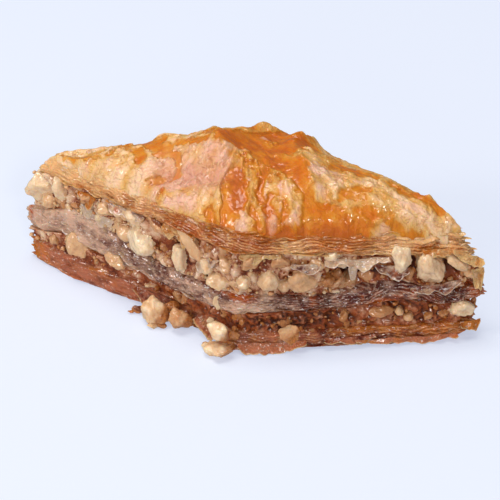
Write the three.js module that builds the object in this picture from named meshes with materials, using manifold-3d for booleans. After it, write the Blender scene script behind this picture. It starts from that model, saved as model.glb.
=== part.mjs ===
// A diamond of baklava, cut from a tray: five courses stacked in a lozenge, with chopped nuts between
// three stacks of filo, and a few chunks of nut that syrup holds to its foot.
//
// Frame: millimetres, +Z up. The origin is the middle of the footprint, on the surface that the piece
// rests on. +X runs along the long diagonal, and the blunt front corner is on the -Y side.
//
// A place on the lozenge is written as (s, t), each from -1 to 1. The corners are
// left (-1, -1), front (1, -1), right (1, 1) and back (-1, 1), so t = -1 is the left front face and
// s = 1 the right front face.

import * as THREE from "three";
import { SimplexNoise } from "three/addons/math/SimplexNoise.js";
import { mergeVertices } from "three/addons/utils/BufferGeometryUtils.js";
import Module from "manifold-3d";

const wasm = await Module();
wasm.setup();

// ---------------------------------------------------------------- driving dimensions, in millimetres

const HALF_LENGTH = 42.5; // from the middle to either sharp corner, before blunting
const HALF_WIDTH = 18.3; // from the long diagonal to either blunt corner
const SKEW = 2.5; // how far the blunt corners sit off the middle, as the tray's cuts aren't quite square
const CORNER_CUT = 0.04; // share by which knife and fingers blunt the corners

const GAP = 0.3; // clearance between one course and the next
const CUTS_ALONG = 26; // grid steps along the left front face, and along the one opposite
const CUTS_ACROSS = 24; // grid steps along the right front face, and along the one opposite
const INNER_RING = 0.84; // share of the way out at which a flat skin has its one inner ring

// A field over the plan is given by its values at the left, front, right and back corners, by how far
// the middle stands above them, and by rises along a front face: where, by s on the left one and t on
// the right one, how high and how wide on the same scale.
const RISE_REACH = 0.7; // how far inwards a rise carries, as a share of the half width

// Heights of the surfaces between courses. The soaked middle filo rides over the nuts and sags between.
const BASE_TOP = { corners: [4.7, 3.6, 3.4, 3.6], crown: 0.3 };
const LOWER_NUTS_TOP = {
  corners: [5.9, 6.9, 8.3, 7.0],
  crown: 0.5,
  rises: [
    { face: "left", at: -0.6, rise: 1.8, width: 0.2 },
    { face: "left", at: -0.1, rise: 1.0, width: 0.18 },
    { face: "right", at: 0.3, rise: 0.7, width: 0.2 },
    { face: "right", at: 0.67, rise: -1.0, width: 0.2 },
  ],
};
const MIDDLE_TOP = {
  corners: [11.2, 11.3, 11.4, 11.4],
  crown: 1.0,
  rises: [
    { face: "left", at: -0.36, rise: 2.6, width: 0.28 },
    { face: "right", at: -0.35, rise: -0.9, width: 0.25 },
    { face: "right", at: 0.3, rise: 1.2, width: 0.2 },
    { face: "right", at: 0.67, rise: -1.8, width: 0.2 },
  ],
};
const UPPER_NUTS_TOP = { corners: [18.0, 20.2, 15.6, 18.0], crown: 4.2 };
const CRUST_RIM = { corners: [20.2, 22.4, 19.6, 20.4] };

// The crust is puffed like a pillow, more so to the right of the middle.
const PUFF = 8.4;
const PUFF_FULLNESS = 0.55; // the lower, the steeper its shoulders
const PUFF_LEAN = 0.12; // share by which the puff grows towards the right end

// Folds of the crust: crests between two places on the plan, with height and half width.
const FOLDS = [
  { from: [2.2, -16.5], to: [-5.0, -3.0], height: 2.2, width: 2.6 },
  { from: [-5.0, -3.0], to: [-9.5, 6.5], height: 2.4, width: 2.4 },
  { from: [-5.0, 0.5], to: [-0.5, 8.0], height: 1.8, width: 3.0 },
  { from: [-0.5, 8.0], to: [4.5, 8.0], height: 1.2, width: 2.4 },
  { from: [6.0, 7.0], to: [7.4, 9.6], height: 3.8, width: 2.2 },
  { from: [6.0, 4.0], to: [12.5, -6.5], height: 1.5, width: 2.0 },
  { from: [13.0, 2.5], to: [31.0, 1.0], height: 1.0, width: 2.6 },
  { from: [-17.0, 2.0], to: [-9.0, -2.5], height: 1.2, width: 2.4 },
  { from: [-34.0, 2.0], to: [-20.0, 6.5], height: -1.6, width: 3.6 },
  { from: [-13.0, -6.5], to: [-4.5, -8.0], height: -2.0, width: 3.4 },
];
const CREST_SHARPNESS = 1.4; // 1 is a sharp edge, 2 a round back
const WRINKLES = 46; // shorter creases strewn over the crust
const WRINKLE_HEIGHT = 0.6;
const WRINKLE_LENGTH = 9.0;
const WRINKLE_WIDTH = 0.9;
const HOLLOW_SHARE = 0.3; // share of the creases that are hollows
const SWELL = { height: 0.5, scale: 0.16 }; // slow unevenness of the whole crust
const RIM_CALM = 0.22; // relief dies away over this share of the half width, towards the rim

// Each stack of filo shows its leaves as ridges round its side, and stands out past the outline by its
// overhang. The foot of the left front face is crushed inwards behind its fallen chunks.
const LEAF_FLARE = 0.5; // how far a leaf stands out from the groove below it
const LEAF_RAGGEDNESS = 0.55;
const LEAF_SCALE = 0.3; // how closely a leaf's edge wavers
const CRUST = { leaves: 4, overhang: { corners: [-0.4, 0.5, -0.5, 0.2] } };
const MIDDLE = { leaves: 2, overhang: { corners: [0.2, -0.3, 0.3, 0.0] } };
const BASE = {
  leaves: 2,
  overhang: {
    corners: [0.2, 0.4, -0.1, 0.3],
    rises: [{ face: "left", at: 0.36, rise: -2.6, width: 0.45 }],
  },
};

// Chopped nuts, fused to an inset core.
const CORE_INSET = 1.9;
const CORE_UNEVENNESS = { depth: 0.8, scale: 0.25 };
const CORE_EXCESS = 0.5; // how far the core stands past the course before it is cut to it
const NUT_DEPTH = 0.9; // how far inside the edge a nut's middle lies
const NUT_REACH = 4; // no nut stands further out of a face than this
const NUT_PUSH = [0.84, 0.36]; // how far out each corner of a nut is pushed, at least and on top
const DICE = new THREE.BoxGeometry(0.72, 0.72, 0.72); // what the smaller nuts are cut from
const UPPER_NUTS = { count: 56, size: [3.2, 5.2], overhang: { corners: [0, 0, 0, 0] } };
const LOWER_NUTS = {
  count: 42,
  size: [2.4, 3.8],
  overhang: {
    corners: [0, 0, 0, 0],
    rises: [{ face: "left", at: 0.36, rise: -1.6, width: 0.45 }],
  },
};

// Larger pieces that show on the two front faces: the distance from the front corner along the face,
// the height of the middle, and the width, height and depth.
const LEFT_FACE_NUTS = [
  { along: 21.4, height: 15.4, size: [5.0, 4.4, 4.0] },
  { along: 13.4, height: 15.4, size: [2.4, 5.0, 3.4] },
  { along: 46.4, height: 14.6, size: [3.6, 5.4, 4.2] },
  { along: 40.6, height: 15.4, size: [3.0, 3.6, 3.4] },
  { along: 36.4, height: 6.9, size: [3.8, 4.2, 3.6] },
  { along: 27.0, height: 6.4, size: [3.4, 3.0, 3.2] },
];
const RIGHT_FACE_NUTS = [
  { along: 6.4, height: 13.6, size: [4.4, 4.2, 4.0] },
  { along: 2.6, height: 12.8, size: [2.6, 2.4, 3.2] },
  { along: 9.6, height: 12.8, size: [2.6, 2.4, 3.0] },
  { along: 29.0, height: 16.0, size: [3.2, 3.8, 3.4] },
  { along: 34.0, height: 13.4, size: [4.8, 5.4, 4.4] },
  { along: 38.6, height: 14.6, size: [4.8, 2.4, 3.4] },
  { along: 40.2, height: 5.9, size: [4.4, 3.2, 3.6] },
];

// Chunks at the foot: the distance from the front corner along the face, how far the middle lies outside
// the face, how high it lies, the width, depth and height, and a turn in degrees.
const FOOT_CHUNKS = {
  nut_chunk_left: { face: "left", along: 16.2, out: 1.7, lift: 2.2, size: [5.4, 4.4, 5.6], turn: 14 },
  nut_chunk_left_small: { face: "left", along: 10.9, out: 0.9, lift: 2.1, size: [4.4, 3.0, 4.6], turn: -12 },
  nut_chunk_corner: { face: "left", along: 1.6, out: 2.6, lift: 1.1, size: [6.4, 3.8, 3.2], turn: 8 },
  nut_chunk_corner_top: { face: "left", along: 1.8, out: 2.4, lift: 4.6, size: [4.6, 3.2, 4.0], turn: -20 },
  nut_flake_right: { face: "right", along: 9.6, out: 2.4, lift: 4.4, size: [4.4, 1.4, 4.8], turn: -10 },
};

// ---------------------------------------------------------------- chance, seeded so that it repeats

const SEED = 20417;

// A generator of numbers from 0 to 1 that gives the same run for the same seed.
function seeded(seed) {
  let state = seed >>> 0;
  return () => {
    state = (state + 0x6d2b79f5) >>> 0;
    let mixed = Math.imul(state ^ (state >>> 15), 1 | state);
    mixed = (mixed + Math.imul(mixed ^ (mixed >>> 7), 61 | mixed)) ^ mixed;
    return ((mixed ^ (mixed >>> 14)) >>> 0) / 4294967296;
  };
}

const noise = new SimplexNoise({ random: seeded(SEED) });
const { clamp, lerp, smoothstep, degToRad } = THREE.MathUtils;

// ---------------------------------------------------------------- plan of the lozenge

const FRONT = new THREE.Vector2(SKEW, -HALF_WIDTH);
const LEFT = new THREE.Vector2(-HALF_LENGTH, 0);
const ALONG = FRONT.clone().sub(LEFT).multiplyScalar(0.5); // half of the left front face
const ACROSS = FRONT.clone().add(LEFT).multiplyScalar(-0.5); // half of the right front face

const HALF_AREA = ALONG.cross(ACROSS);
const REACH_ALONG = HALF_AREA / ACROSS.length(); // from the middle to the right front face
const REACH_ACROSS = HALF_AREA / ALONG.length(); // from the middle to the left front face
const NUT_REACH_SHARE = 1 + NUT_REACH / ((1 - INNER_RING) * REACH_ACROSS);

// The plan point of (s, t), with blunted corners. A course that stands out past the outline spreads its
// outer part by that much.
function planPoint(s, t, out = 0) {
  const spreadS = s * (1 + (out / REACH_ALONG) * Math.abs(s) ** 3);
  const spreadT = t * (1 + (out / REACH_ACROSS) * Math.abs(t) ** 3);
  const blunt = 1 - CORNER_CUT * Math.abs(s * t) ** 6;
  return ALONG.clone().multiplyScalar(spreadS).addScaledVector(ACROSS, spreadT).multiplyScalar(blunt);
}

// Ragged edges calm down towards the corners, where two faces share them.
function tipEase(s, t) {
  return 1 - 0.6 * Math.abs(s * t) ** 4;
}

// The grid's edge, walked round anticlockwise from the left corner.
const EDGE = [];
for (let i = 0; i < CUTS_ALONG; i++) EDGE.push([(2 * i) / CUTS_ALONG - 1, -1]);
for (let j = 0; j < CUTS_ACROSS; j++) EDGE.push([1, (2 * j) / CUTS_ACROSS - 1]);
for (let i = 0; i < CUTS_ALONG; i++) EDGE.push([1 - (2 * i) / CUTS_ALONG, 1]);
for (let j = 0; j < CUTS_ACROSS; j++) EDGE.push([-1, 1 - (2 * j) / CUTS_ACROSS]);

// The outward direction at each step of the edge.
const OUTWARD = EDGE.map((_, k) => {
  const before = planPoint(...EDGE[(k + EDGE.length - 1) % EDGE.length]);
  const after = planPoint(...EDGE[(k + 1) % EDGE.length]);
  const run = after.sub(before).normalize();
  return new THREE.Vector2(run.y, -run.x);
});

// ---------------------------------------------------------------- heights

// The value of a field at (s, t).
function fieldAt({ corners: [left, front, right, back], crown = 0, rises = [] }, s, t) {
  const frontSide = lerp(left, front, (s + 1) / 2);
  const backSide = lerp(back, right, (s + 1) / 2);
  let value = lerp(frontSide, backSide, (t + 1) / 2) + crown * (1 - s * s) * (1 - t * t);
  for (const { face, at, rise, width } of rises) {
    const aside = ((face === "left" ? s : t) - at) / width;
    const inwards = (face === "left" ? 1 + t : 1 - s) / RISE_REACH;
    value += rise * Math.exp(-aside * aside - inwards * inwards);
  }
  return value;
}

const baseTop = (s, t) => fieldAt(BASE_TOP, s, t);
const lowerNutsTop = (s, t) => fieldAt(LOWER_NUTS_TOP, s, t);
const middleTop = (s, t) => fieldAt(MIDDLE_TOP, s, t);
const upperNutsTop = (s, t) => fieldAt(UPPER_NUTS_TOP, s, t);
const floor = () => 0;

// A crest between two plan points, sharp at the top and fading sideways.
function crestAt(point, { from, to, height, width }) {
  const start = new THREE.Vector2(...from);
  const run = new THREE.Vector2(...to).sub(start);
  const share = clamp(point.clone().sub(start).dot(run) / run.lengthSq(), 0, 1);
  const aside = point.distanceTo(start.addScaledVector(run, share));
  return height * Math.exp(-Math.pow(aside / width, CREST_SHARPNESS));
}

// Short creases strewn at random, mostly fanning out from the middle as the sheet draws in.
const wrinkles = (() => {
  const random = seeded(SEED + 1);
  return Array.from({ length: WRINKLES }, () => {
    const middle = planPoint(random() * 1.8 - 0.9, random() * 1.8 - 0.9);
    const heading = middle.angle() + (random() - 0.5) * 2.2;
    const reach = (WRINKLE_LENGTH / 2) * (0.5 + random());
    const half = new THREE.Vector2(Math.cos(heading), Math.sin(heading)).multiplyScalar(reach);
    return {
      from: middle.clone().sub(half).toArray(),
      to: middle.clone().add(half).toArray(),
      height: WRINKLE_HEIGHT * (random() < HOLLOW_SHARE ? -1 : 1) * (0.5 + random()),
      width: WRINKLE_WIDTH * (0.7 + random()),
    };
  });
})();

function crustTop(s, t) {
  const point = planPoint(s, t);
  const puffed = Math.pow((1 - s * s) * (1 - t * t), PUFF_FULLNESS);
  const lean = 1 + (PUFF_LEAN * point.x) / HALF_LENGTH;
  const fade = smoothstep(1 - Math.max(Math.abs(s), Math.abs(t)), 0, RIM_CALM);
  let relief = SWELL.height * noise.noise(point.x * SWELL.scale, point.y * SWELL.scale);
  for (const crest of [...FOLDS, ...wrinkles]) relief += crestAt(point, crest);
  return fieldAt(CRUST_RIM, s, t) + PUFF * puffed * lean + fade * relief;
}

// ---------------------------------------------------------------- closed meshes

// Collects vertices and faces, and gives them back as a geometry or as a solid to cut and join.
class Surface {
  positions = [];
  indices = [];

  constructor(steps = EDGE) {
    this.steps = steps;
  }

  vertex(x, y, z) {
    this.positions.push(x, y, z);
    return this.positions.length / 3 - 1;
  }

  // A closed row of vertices round the edge: how far out each lies, its height, and its share of the
  // way from the middle.
  row(outAt, heightAt, share = 1) {
    return this.steps.map(([s, t]) => {
      const point = planPoint(s * share, t * share, outAt(s, t));
      return this.vertex(point.x, point.y, heightAt(s * share, t * share));
    });
  }

  // Joins an upper row to a lower one, or an outer to an inner, with faces that look outwards.
  band(upper, lower) {
    upper.forEach((a, k) => {
      const next = (k + 1) % upper.length;
      this.indices.push(a, lower[k], upper[next], upper[next], lower[k], lower[next]);
    });
  }

  // Closes a row towards one vertex above it.
  fan(rim, middle) {
    rim.forEach((a, k) => this.indices.push(a, rim[(k + 1) % rim.length], middle));
  }

  geometry() {
    const made = new THREE.BufferGeometry();
    made.setAttribute("position", new THREE.Float32BufferAttribute(this.positions, 3));
    made.setIndex(this.indices);
    return made;
  }
}

// A skin over the top of a course, from its outer row to the middle, with one ring between.
function plainTop(surface, rim, heightAt) {
  const ring = surface.row(() => 0, heightAt, INNER_RING);
  surface.band(ring, rim);
  surface.fan(ring, surface.vertex(0, 0, heightAt(0, 0)));
}

// The same under a course, facing down.
function plainUnderside(surface, rim, heightAt) {
  const ring = surface.row(() => 0, heightAt, INNER_RING);
  surface.band(rim, ring);
  surface.fan([...ring].reverse(), surface.vertex(0, 0, heightAt(0, 0)));
}

// A skin on the whole grid, fine enough for folds and wrinkles.
function wrinkledTop(surface, rim, heightAt, overhang) {
  const inside = new Map();
  for (let i = 1; i < CUTS_ALONG; i++) {
    for (let j = 1; j < CUTS_ACROSS; j++) {
      const [s, t] = [(2 * i) / CUTS_ALONG - 1, (2 * j) / CUTS_ACROSS - 1];
      const point = planPoint(s, t, fieldAt(overhang, s, t));
      inside.set(i + "," + j, surface.vertex(point.x, point.y, heightAt(s, t)));
    }
  }
  const at = (i, j) => {
    if (j === 0) return rim[i];
    if (i === CUTS_ALONG) return rim[CUTS_ALONG + j];
    if (j === CUTS_ACROSS) return rim[2 * CUTS_ALONG + CUTS_ACROSS - i];
    if (i === 0) return rim[(2 * CUTS_ALONG + 2 * CUTS_ACROSS - j) % rim.length];
    return inside.get(i + "," + j);
  };
  for (let i = 0; i < CUTS_ALONG; i++) {
    for (let j = 0; j < CUTS_ACROSS; j++) {
      const [a, b, c, d] = [at(i, j), at(i + 1, j), at(i + 1, j + 1), at(i, j + 1)];
      if ((i + j) % 2) surface.indices.push(a, b, c, a, c, d);
      else surface.indices.push(a, b, d, b, c, d);
    }
  }
}

// A stack of filo: its leaves stand out round the side, each with a ragged edge of its own.
function filoStack({ leaves, overhang }, topAt, undersideAt, skin = plainTop) {
  const surface = new Surface();
  const outAt = (s, t, row) => {
    const point = planPoint(s, t);
    const ragged = noise.noise3d(point.x * LEAF_SCALE, point.y * LEAF_SCALE, row * 3.7 + leaves);
    const edge = (row % 2 ? LEAF_FLARE : 0) + LEAF_RAGGEDNESS * ragged;
    return fieldAt(overhang, s, t) + edge * tipEase(s, t);
  };
  const rows = [];
  for (let row = 0; row <= 2 * leaves; row++) {
    const share = row / (2 * leaves);
    rows.push(
      surface.row(
        (s, t) => outAt(s, t, row),
        (s, t) => lerp(topAt(s, t), undersideAt(s, t), share),
      ),
    );
  }
  for (let row = 1; row < rows.length; row++) surface.band(rows[row - 1], rows[row]);
  skin(surface, rows[0], topAt, overhang);
  plainUnderside(surface, rows[rows.length - 1], undersideAt);
  return surface.geometry();
}

// The space between two courses, its top and underside carried on out to beyond the furthest nut.
function layerSpace(topAt, undersideAt) {
  const surface = new Surface();
  const carriedOn = (heightAt) => (s, t) =>
    lerp(heightAt(s * INNER_RING, t * INNER_RING), heightAt(s, t), NUT_REACH_SHARE);
  const topOuter = surface.row(() => NUT_REACH, carriedOn(topAt));
  const lowOuter = surface.row(() => NUT_REACH, carriedOn(undersideAt));
  plainTop(surface, topOuter, topAt);
  surface.band(topOuter, lowOuter);
  plainUnderside(surface, lowOuter, undersideAt);
  return surface.geometry();
}

// The crumbs and paste behind the nuts that show: an inset slab with an uneven side, taller than the
// course so that it cuts off cleanly.
function nutCore(overhang, topAt, undersideAt) {
  const surface = new Surface(EDGE.filter((_, k) => k % 2 === 0));
  const rows = [0, 1, 2].map((row) =>
    surface.row(
      (s, t) => {
        const point = planPoint(s, t);
        const { depth, scale } = CORE_UNEVENNESS;
        const uneven = depth * noise.noise3d(point.x * scale, point.y * scale, row * 2.1);
        return fieldAt(overhang, s, t) + (uneven - CORE_INSET) * tipEase(s, t);
      },
      (s, t) => lerp(topAt(s, t) + CORE_EXCESS, undersideAt(s, t) - CORE_EXCESS, row / 2),
    ),
  );
  for (let row = 1; row < rows.length; row++) surface.band(rows[row - 1], rows[row]);
  plainTop(surface, rows[0], topAt);
  plainUnderside(surface, rows[rows.length - 1], undersideAt);
  return surface.geometry();
}

// ---------------------------------------------------------------- cutting and joining

const FINEST = 0.05; // edges shorter than this are closed up

function toSolid(geometry) {
  const bare = geometry.clone();
  bare.deleteAttribute("normal");
  bare.deleteAttribute("uv");
  const merged = mergeVertices(bare);
  return new wasm.Manifold(
    new wasm.Mesh({
      numProp: 3,
      vertProperties: merged.attributes.position.array,
      triVerts: new Uint32Array(merged.index.array),
    }),
  );
}

function toGeometry(solid) {
  const { vertProperties, triVerts } = solid.getMesh();
  const made = new THREE.BufferGeometry();
  made.setAttribute("position", new THREE.BufferAttribute(vertProperties, 3));
  made.setIndex(new THREE.BufferAttribute(triVerts, 1));
  return made;
}

function largestPiece(solid) {
  return solid.decompose().reduce((best, piece) => (piece.volume() > best.volume() ? piece : best));
}

// ---------------------------------------------------------------- chopped nuts

// A chopped piece: an uneven lump of the given width, depth and height.
function choppedNut(size, random, block = new THREE.IcosahedronGeometry(0.5, 0)) {
  const lump = block.clone();
  const corners = lump.attributes.position;
  const pushed = new Map();
  for (let i = 0; i < corners.count; i++) {
    const corner = new THREE.Vector3().fromBufferAttribute(corners, i);
    const key = corner.toArray().map((value) => value.toFixed(3)).join();
    if (!pushed.has(key)) pushed.set(key, NUT_PUSH[0] + NUT_PUSH[1] * random());
    corner.multiplyScalar(pushed.get(key));
    corners.setXYZ(i, corner.x, corner.y, corner.z);
  }
  const turn = new THREE.Matrix4().makeRotationFromEuler(
    new THREE.Euler(random() * Math.PI, random() * Math.PI, random() * Math.PI),
  );
  return lump.applyMatrix4(turn).scale(...size);
}

// A place on a front face: the plan point at a distance from the front corner, and the outward
// direction there.
function onFrontFace(face, along) {
  const toEnd = (face === "left" ? ALONG.clone().negate() : ACROSS.clone()).normalize();
  const outward = new THREE.Vector2(toEnd.y, -toEnd.x);
  if (outward.y > 0) outward.negate();
  return { point: FRONT.clone().addScaledVector(toEnd, along), outward };
}

// A nut with its width along the face, sunk a little way into it.
function nutInFace(face, { along, height, size }, overhang, random) {
  const { point, outward } = onFrontFace(face, along);
  const { s, t } = planShares(point);
  const middle = point.addScaledVector(outward, fieldAt(overhang, s, t) - NUT_DEPTH);
  return choppedNut([size[0], size[2], size[1]], random)
    .rotateZ(outward.angle() + Math.PI / 2)
    .translate(middle.x, middle.y, height);
}

// A course of nuts: the core, the larger nuts of the front faces, and more strewn all round the edge.
function nutCourse({ count, size, overhang }, topAt, undersideAt, seed) {
  const random = seeded(seed);
  const nuts = [];
  const placed = [];
  for (const [face, list] of Object.entries({ left: LEFT_FACE_NUTS, right: RIGHT_FACE_NUTS })) {
    for (const nut of list) {
      const { point } = onFrontFace(face, nut.along);
      const { s, t } = planShares(point);
      if (nut.height > topAt(s, t) || nut.height < undersideAt(s, t)) continue;
      nuts.push(nutInFace(face, nut, overhang, random));
      placed.push(new THREE.Vector3(point.x, point.y, nut.height));
    }
  }
  for (let n = 0; n < count; n++) {
    const k = Math.floor(((n + 0.8 * random()) / count) * EDGE.length);
    const [s, t] = EDGE[k];
    const [low, high] = [undersideAt(s, t), topAt(s, t)];
    const across = Math.min(lerp(size[0], size[1], random()), 1.25 * (high - low));
    const reach = Math.min(across * 0.35, (high - low) / 2);
    const depth = NUT_DEPTH + 0.4 * random() - fieldAt(overhang, s, t);
    const middle = planPoint(s, t).addScaledVector(OUTWARD[k], -depth);
    const spot = new THREE.Vector3(middle.x, middle.y, lerp(low + reach, high - reach, random()));
    if (placed.some((other) => other.distanceTo(spot) < 0.5 * across)) continue;
    placed.push(spot);
    const shape = [across * (0.9 + 0.5 * random()), across, across * (0.8 + 0.3 * random())];
    nuts.push(
      choppedNut(shape, random, DICE)
        .rotateZ(OUTWARD[k].angle() + Math.PI / 2)
        .translate(spot.x, spot.y, spot.z),
    );
  }
  const core = toSolid(nutCore(overhang, topAt, undersideAt));
  const joined = wasm.Manifold.union([core, ...nuts.map(toSolid)]);
  const pressed = joined.intersect(toSolid(layerSpace(topAt, undersideAt)));
  return toGeometry(largestPiece(pressed.simplify(FINEST)));
}

// The (s, t) of a plan point, away from the blunted corners.
function planShares(point) {
  return { s: point.cross(ACROSS) / HALF_AREA, t: ALONG.cross(point) / HALF_AREA };
}

// A chunk on the resting surface beside the foot of a face, cut flat where it stands.
function footChunk({ face, along, out, lift, size, turn }, random) {
  const { point, outward } = onFrontFace(face, along);
  const middle = point.addScaledVector(outward, out);
  const lump = choppedNut(size, random)
    .rotateZ(outward.angle() + Math.PI / 2 + degToRad(turn))
    .translate(middle.x, middle.y, lift);
  const side = 4 * Math.max(...size);
  const above = new THREE.BoxGeometry(side, side, side).translate(middle.x, middle.y, side / 2);
  return toGeometry(toSolid(lump).intersect(toSolid(above)).simplify(FINEST));
}

// ---------------------------------------------------------------- finishes

const FINISHES = {
  crust: { color: 0xd9943c, roughness: 0.35 },
  soakedFilo: { color: 0xb6a48c, roughness: 0.4 },
  baseFilo: { color: 0xa8663a, roughness: 0.4 },
  nut: { color: 0xe0c592, roughness: 0.55 },
};
const materials = Object.fromEntries(
  Object.entries(FINISHES).map(([name, look]) => [
    name,
    new THREE.MeshStandardMaterial({ name, metalness: 0, flatShading: true, ...look }),
  ]),
);

// ---------------------------------------------------------------- the piece

const baklava = new THREE.Group();

function addPiece(name, geometry, material) {
  const mesh = new THREE.Mesh(geometry, material);
  mesh.name = name;
  baklava.add(mesh);
}

const above = (level) => (s, t) => level(s, t) + GAP / 2;
const below = (level) => (s, t) => level(s, t) - GAP / 2;

const lowerNuts = nutCourse(LOWER_NUTS, below(lowerNutsTop), above(baseTop), SEED + 22);
const upperNuts = nutCourse(UPPER_NUTS, below(upperNutsTop), above(middleTop), SEED + 23);
addPiece("filo_base", filoStack(BASE, below(baseTop), floor), materials.baseFilo);
addPiece("nuts_lower", lowerNuts, materials.nut);
addPiece("filo_middle", filoStack(MIDDLE, below(middleTop), above(lowerNutsTop)), materials.soakedFilo);
addPiece("nuts_upper", upperNuts, materials.nut);
addPiece("filo_crust", filoStack(CRUST, crustTop, above(upperNutsTop), wrinkledTop), materials.crust);

const chunkRandom = seeded(SEED + 4);
for (const [name, chunk] of Object.entries(FOOT_CHUNKS)) {
  addPiece(name, footChunk(chunk, chunkRandom), materials.nut);
}

// The footprint's middle goes to the origin.
const bounds = new THREE.Box3().setFromObject(baklava);
const middle = bounds.getCenter(new THREE.Vector3());
baklava.position.set(-middle.x, -middle.y, -bounds.min.z);

export default baklava;
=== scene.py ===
"""A diamond of baklava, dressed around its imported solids.

Lengths are millimetres until a mesh is written, and metres in Blender. A place on the diamond is (s, t),
each from -1 to 1: t = -1 is the left front face, s = 1 is the right front face, and the two meet in the
blunt front corner.
"""

import logging
import math
from dataclasses import dataclass
from enum import Enum
from typing import Callable, Optional, Sequence, Union

import bpy
import numpy as np
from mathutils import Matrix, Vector
from mathutils.kdtree import KDTree


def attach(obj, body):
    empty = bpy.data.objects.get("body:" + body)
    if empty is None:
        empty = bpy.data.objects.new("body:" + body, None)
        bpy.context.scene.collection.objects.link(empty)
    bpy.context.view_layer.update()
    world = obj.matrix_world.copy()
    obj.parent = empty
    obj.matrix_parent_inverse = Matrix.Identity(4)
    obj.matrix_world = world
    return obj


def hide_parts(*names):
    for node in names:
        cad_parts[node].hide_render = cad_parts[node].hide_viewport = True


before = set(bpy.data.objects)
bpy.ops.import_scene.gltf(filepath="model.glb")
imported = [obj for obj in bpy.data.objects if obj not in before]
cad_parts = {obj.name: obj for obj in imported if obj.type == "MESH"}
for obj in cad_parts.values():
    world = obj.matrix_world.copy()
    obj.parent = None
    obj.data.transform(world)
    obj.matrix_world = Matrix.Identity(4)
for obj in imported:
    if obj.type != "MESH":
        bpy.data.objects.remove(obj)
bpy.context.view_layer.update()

LOG = logging.getLogger("baklava")
MM = 0.001
SEED = 20417

Array = np.ndarray
Points = np.ndarray
Level = Callable[[np.ndarray, np.ndarray], np.ndarray]
Piece = bpy.types.Object
Pair = tuple[float, float]
Triple = tuple[float, float, float]


# -------- chance and noise


class Grain:
    """Smooth seeded noise, from about -1 to 1, over points in millimetres."""

    CORNERS = [(i, j, k) for i in (0, 1) for j in (0, 1) for k in (0, 1)]

    def __init__(self, seed: int) -> None:
        """Draws the slopes of the noise.

        Args:
            seed: the seed that the whole field repeats from.
        """
        chance = np.random.default_rng(seed)
        order = chance.permutation(256)
        self.order = np.concatenate([order, order])
        slopes = chance.normal(size=(256, 3))
        self.slopes = slopes / np.linalg.norm(slopes, axis=1, keepdims=True)

    def at(self, points: Points, scale: float = 1.0, octaves: int = 1, keep: float = 0.5) -> Array:
        """Noise at each point.

        Args:
            points: n rows of x, y, z.
            scale: how many lumps of noise there are to a millimetre.
            octaves: how many layers are summed, each twice as fine as the one before.
            keep: how strong each layer is, as a share of the one before.

        Returns:
            One value for each point.
        """
        total = np.zeros(len(points))
        for octave in range(octaves):
            total += keep**octave * self._layer(points * scale * 2**octave + 31.7 * octave)
        return total

    def _layer(self, points: Points) -> Array:
        """One layer of gradient noise at each point."""
        cell = np.floor(points).astype(int)
        inside = points - cell
        blend = inside**3 * (inside * (inside * 6 - 15) + 10)
        cell &= 255
        total = np.zeros(len(points))
        for corner in self.CORNERS:
            step = np.array(corner)
            first = self.order[cell[:, 0] + step[0]]
            second = self.order[first + cell[:, 1] + step[1]]
            slope = self.slopes[self.order[second + cell[:, 2] + step[2]]]
            weight = np.prod(np.where(step, blend, 1 - blend), axis=1)
            total += weight * np.sum(slope * (inside - step), axis=1)
        return total * 1.5


class Cells:
    """Seeded lumps packed side by side, over points in millimetres."""

    def __init__(self, seed: int) -> None:
        """Draws where the lumps lie in each cell."""
        chance = np.random.default_rng(seed)
        order = chance.permutation(256)
        self.order = np.concatenate([order, order])
        self.offsets = chance.random((256, 3))

    def at(self, points: Points, scale: float) -> Array:
        """Distance to the nearest lump's middle, 0 there and about 1 between lumps.

        Args:
            points: n rows of x, y, z.
            scale: lumps to a millimetre.

        Returns:
            One value for each point.
        """
        points = points * scale
        cell = np.floor(points).astype(int)
        nearest = np.full(len(points), 9.0)
        for i in (-1, 0, 1):
            for j in (-1, 0, 1):
                for k in (-1, 0, 1):
                    near = cell + (i, j, k)
                    index = near & 255
                    pick = self.order[self.order[self.order[index[:, 0]] + index[:, 1]] + index[:, 2]]
                    apart = np.linalg.norm(near + self.offsets[pick] - points, axis=1)
                    nearest = np.minimum(nearest, apart)
        return nearest


def ease(value: Array, low: float, high: float) -> Array:
    """A smooth step from 0 at low to 1 at high."""
    share = np.clip((value - low) / (high - low), 0, 1)
    return share * share * (3 - 2 * share)


def ridged(noise: Array, power: float) -> Array:
    """Crests from 0 to 1 along the lines where noise is 0, the sharper the higher the power."""
    return (1 - np.abs(noise)) ** power


def lifted(plan: Points, height: Union[float, Array] = 0.0) -> Points:
    """Plan points as points in space, at one height or each at its own."""
    return np.column_stack([plan, np.broadcast_to(height, len(plan))])


def inward(s: Array, t: Array) -> Array:
    """How far in each (s, t) lies, 0 at the outline and 1 in the middle."""
    return 1 - np.maximum(np.abs(s), np.abs(t))


# -------- plan and heights of the diamond


class Face(Enum):
    """The two faces that meet in the front corner."""

    LEFT = "left"
    RIGHT = "right"


LEFT, RIGHT = Face.LEFT, Face.RIGHT


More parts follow.
